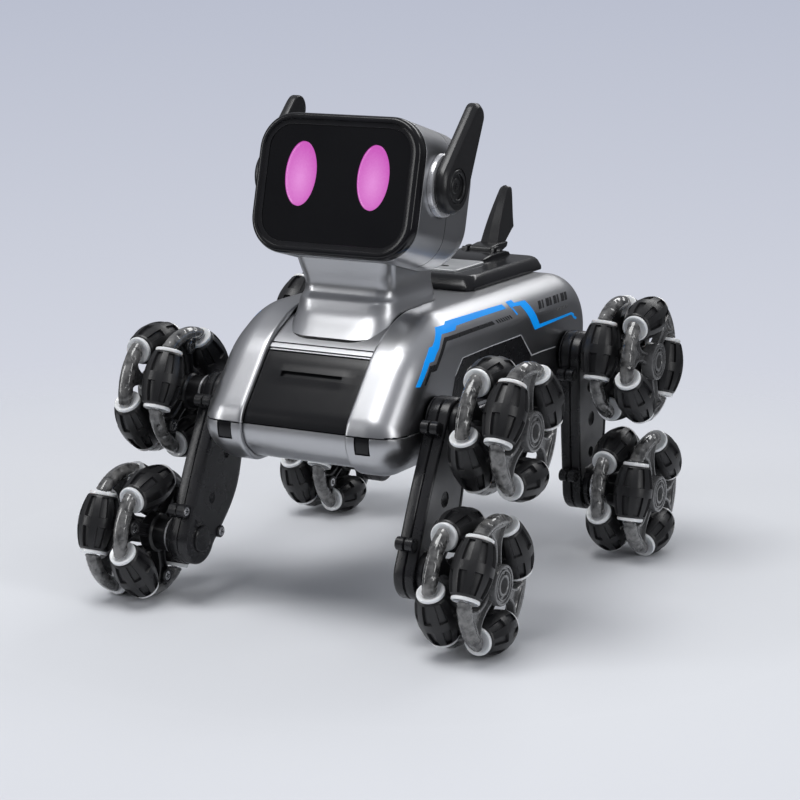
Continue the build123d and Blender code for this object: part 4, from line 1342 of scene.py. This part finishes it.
for corner in CORNERS:
    body = f"{corner}_leg"
    piece(f"{corner}_leg_outer", body, leg_outer_mesh(corner),
          stands_for=[f"{corner}_leg_outer_shell"])
    piece(f"{corner}_leg_inner", body, leg_inner_mesh(corner),
          stands_for=[f"{corner}_leg_inner_shell"])
    piece(f"{corner}_leg_screws", body, leg_screws_mesh(corner))

ROLLER = roller_mesh()
WHEEL_MESHES = {}
for label, side in SIDES:
    WHEEL_MESHES[side] = (
        wheel_outer_mesh(f"wheel_outer_{label}", side),
        wheel_inner_mesh(f"wheel_inner_{label}", side),
        wheel_screws_mesh(f"wheel_screws_{label}", side),
    )


# Rest angle of the outboard row's first arc on each wheel, in degrees from +Y towards +Z
ARC_ANGLES = {
    "front_left": {"upper": 90, "lower": 90},
    "front_right": {"upper": 36, "lower": 101},
    "rear_left": {"upper": 42, "lower": 106},
    "rear_right": {"upper": 75, "lower": 30},
}


def place_wheel(corner, end):
    """One wheel: two frames, screws and six rollers."""
    side = CORNERS[corner]
    body = f"{corner}_{end}_wheel"
    axle = Vector(joints[f"wheel_{corner}_{end}"]["pos_m"])
    first = ARC_ANGLES[corner][end]
    centre = Vector((side * WHEEL_MIDDLE_X * MM, axle.y, axle.z))
    place = Matrix.Translation(centre) @ Matrix.Rotation(radians(first), 4, "X")
    outer, inner, screws = WHEEL_MESHES[side]
    piece(f"{body}_outer_frame", body, outer, place, [body])
    piece(f"{body}_inner_frame", body, inner, place, [body])
    piece(f"{body}_screws", body, screws, place)
    number = 0
    for row_x, row_angle in ((ROW_OUTER_X, first), (ROW_INNER_X, first + 60)):
        for step in range(3):
            number += 1
            turn = radians(row_angle + 60 + 120 * step)
            outward = Vector((0, cos(turn), sin(turn)))
            along = Vector((0, -sin(turn), cos(turn)))
            spot = Vector((side * row_x, axle.y / MM, axle.z / MM)) + outward * ROLLER_AXIS_RADIUS
            roller_place = metres(frame_of(spot, outward, along.cross(outward), along))
            if end == "upper":
                rider, stands = body, f"{corner}_upper_rollers"
            else:
                rider = stands = f"{corner}_lower_roller_{number}"
            piece(f"{corner}_{end}_roller_piece_{number}", rider, ROLLER,
                  roller_place, [stands])


for corner in CORNERS:
    for end in ("upper", "lower"):
        place_wheel(corner, end)

for cad_node, material in (("battery_pack", BATTERY), ("circuit_board", BOARD),
                           ("drive_motors", MOTOR), ("power_switch", SATIN)):
    shown = frame["nodes"][cad_node].data
    shown.materials.clear()
    shown.materials.append(material)


# --- Floor, light and camera -------------------------------------------------------------
# In metres, except the lens in millimetres
CAMERA_SPOT = Vector((0.3662, -0.6796, 0.2279))
CAMERA_TARGET = Vector((0.0073, -0.0123, 0.0652))
CAMERA_ROLL, CAMERA_LENS = radians(0.11), 101.31
LIT_SPOT = Vector((0, 0, 0.08))
FLOOR_HALF_SIDE, FLOOR_Z = 9000, -0.05
FLOOR_FADE_FROM, FLOOR_FADE_TO = 0.16, 0.42


def make_floor():
    """A wide pale floor that fades into the backdrop away from the object."""
    shape = Shape()
    side = FLOOR_HALF_SIDE
    corners = [(-side, -side), (side, -side), (side, side), (-side, side)]
    shape.add([(x, y, FLOOR_Z) for x, y in corners], [(0, 1, 2, 3)])
    pale = moulded("floor_pale", (0.80, 0.815, 0.85), (0.79, 0.805, 0.84), (0.55, 0.6),
                   patch=3.0, grain=300.0, bump=0.02, Specular_IOR_Level=0.2)
    tree = pale.node_tree
    place = node(tree, "ShaderNodeTexCoord")
    distance = node(tree, "ShaderNodeVectorMath", operation="LENGTH")
    tree.links.new(place.outputs["Object"], distance.inputs[0])
    faded = spread(tree, distance.outputs["Value"], 0, 1, FLOOR_FADE_FROM, FLOOR_FADE_TO)
    fade = node(tree, "ShaderNodeMixShader")
    tree.links.new(faded, fade.inputs[0])
    tree.links.new(tree.nodes["Principled BSDF"].outputs[0], fade.inputs[1])
    tree.links.new(node(tree, "ShaderNodeBsdfTransparent").outputs[0], fade.inputs[2])
    tree.links.new(fade.outputs[0], tree.nodes["Material Output"].inputs["Surface"])
    show("floor", shape.mesh("floor", [pale]))


def softbox(name, position, size, watts):
    """A rectangular area light that looks at the object."""
    lamp = bpy.data.lights.new(name, "AREA")
    lamp.shape = "RECTANGLE"
    lamp.size, lamp.size_y = size
    lamp.energy = watts
    item = show(name, lamp)
    item.location = position
    item.rotation_euler = (LIT_SPOT - Vector(position)).to_track_quat("-Z", "Y").to_euler()


def make_world():
    """A pale graded backdrop, a dim studio in the reflections and soft fill elsewhere."""
    world = bpy.data.worlds.new("studio")
    world.use_nodes = True
    tree = world.node_tree
    background = tree.nodes["Background"]
    place = node(tree, "ShaderNodeTexCoord")
    split = node(tree, "ShaderNodeSeparateXYZ")
    tree.links.new(place.outputs["Generated"], split.inputs[0])
    up = split.outputs["Z"]
    studio = mix_colours(tree, spread(tree, up, 0, 1, -0.3, 0.9),
                         (0.035, 0.036, 0.04), (0.42, 0.43, 0.46))
    backdrop = mix_colours(tree, spread(tree, up, 0, 1, -0.26, -0.03),
                           (0.70, 0.72, 0.79), (0.49, 0.52, 0.62))
    path = node(tree, "ShaderNodeLightPath")
    fill = node(tree, "ShaderNodeRGB")
    fill.outputs[0].default_value = (0.30, 0.31, 0.33, 1)
    lit = mix_colours(tree, path.outputs["Is Glossy Ray"], fill.outputs[0], studio)
    seen = mix_colours(tree, path.outputs["Is Camera Ray"], lit, backdrop)
    tree.links.new(seen, background.inputs["Color"])
    bpy.context.scene.world = world


def make_camera():
    """The camera at the viewing angle of the reference view."""
    lens = bpy.data.cameras.new("camera")
    lens.sensor_width = 36.0
    lens.lens = CAMERA_LENS
    lens.clip_end = 50.0
    camera = show("camera", lens)
    roll = Matrix.Rotation(CAMERA_ROLL, 4, "Z")
    aim = (CAMERA_TARGET - CAMERA_SPOT).to_track_quat("-Z", "Y").to_matrix().to_4x4()
    camera.matrix_world = Matrix.Translation(CAMERA_SPOT) @ aim @ roll
    bpy.context.scene.camera = camera


make_floor()
make_world()
make_camera()
softbox("top_box", (-0.15, -0.30, 1.0), (0.6, 0.45), 5.5)
softbox("left_box", (1.1, -0.35, 0.5), (0.25, 0.9), 3.0)
softbox("right_box", (-0.9, -0.8, 0.4), (0.22, 0.8), 3.0)
softbox("back_box", (0.1, 1.1, 0.9), (1.0, 0.3), 4.0)
bpy.context.scene.view_settings.view_transform = "Standard"
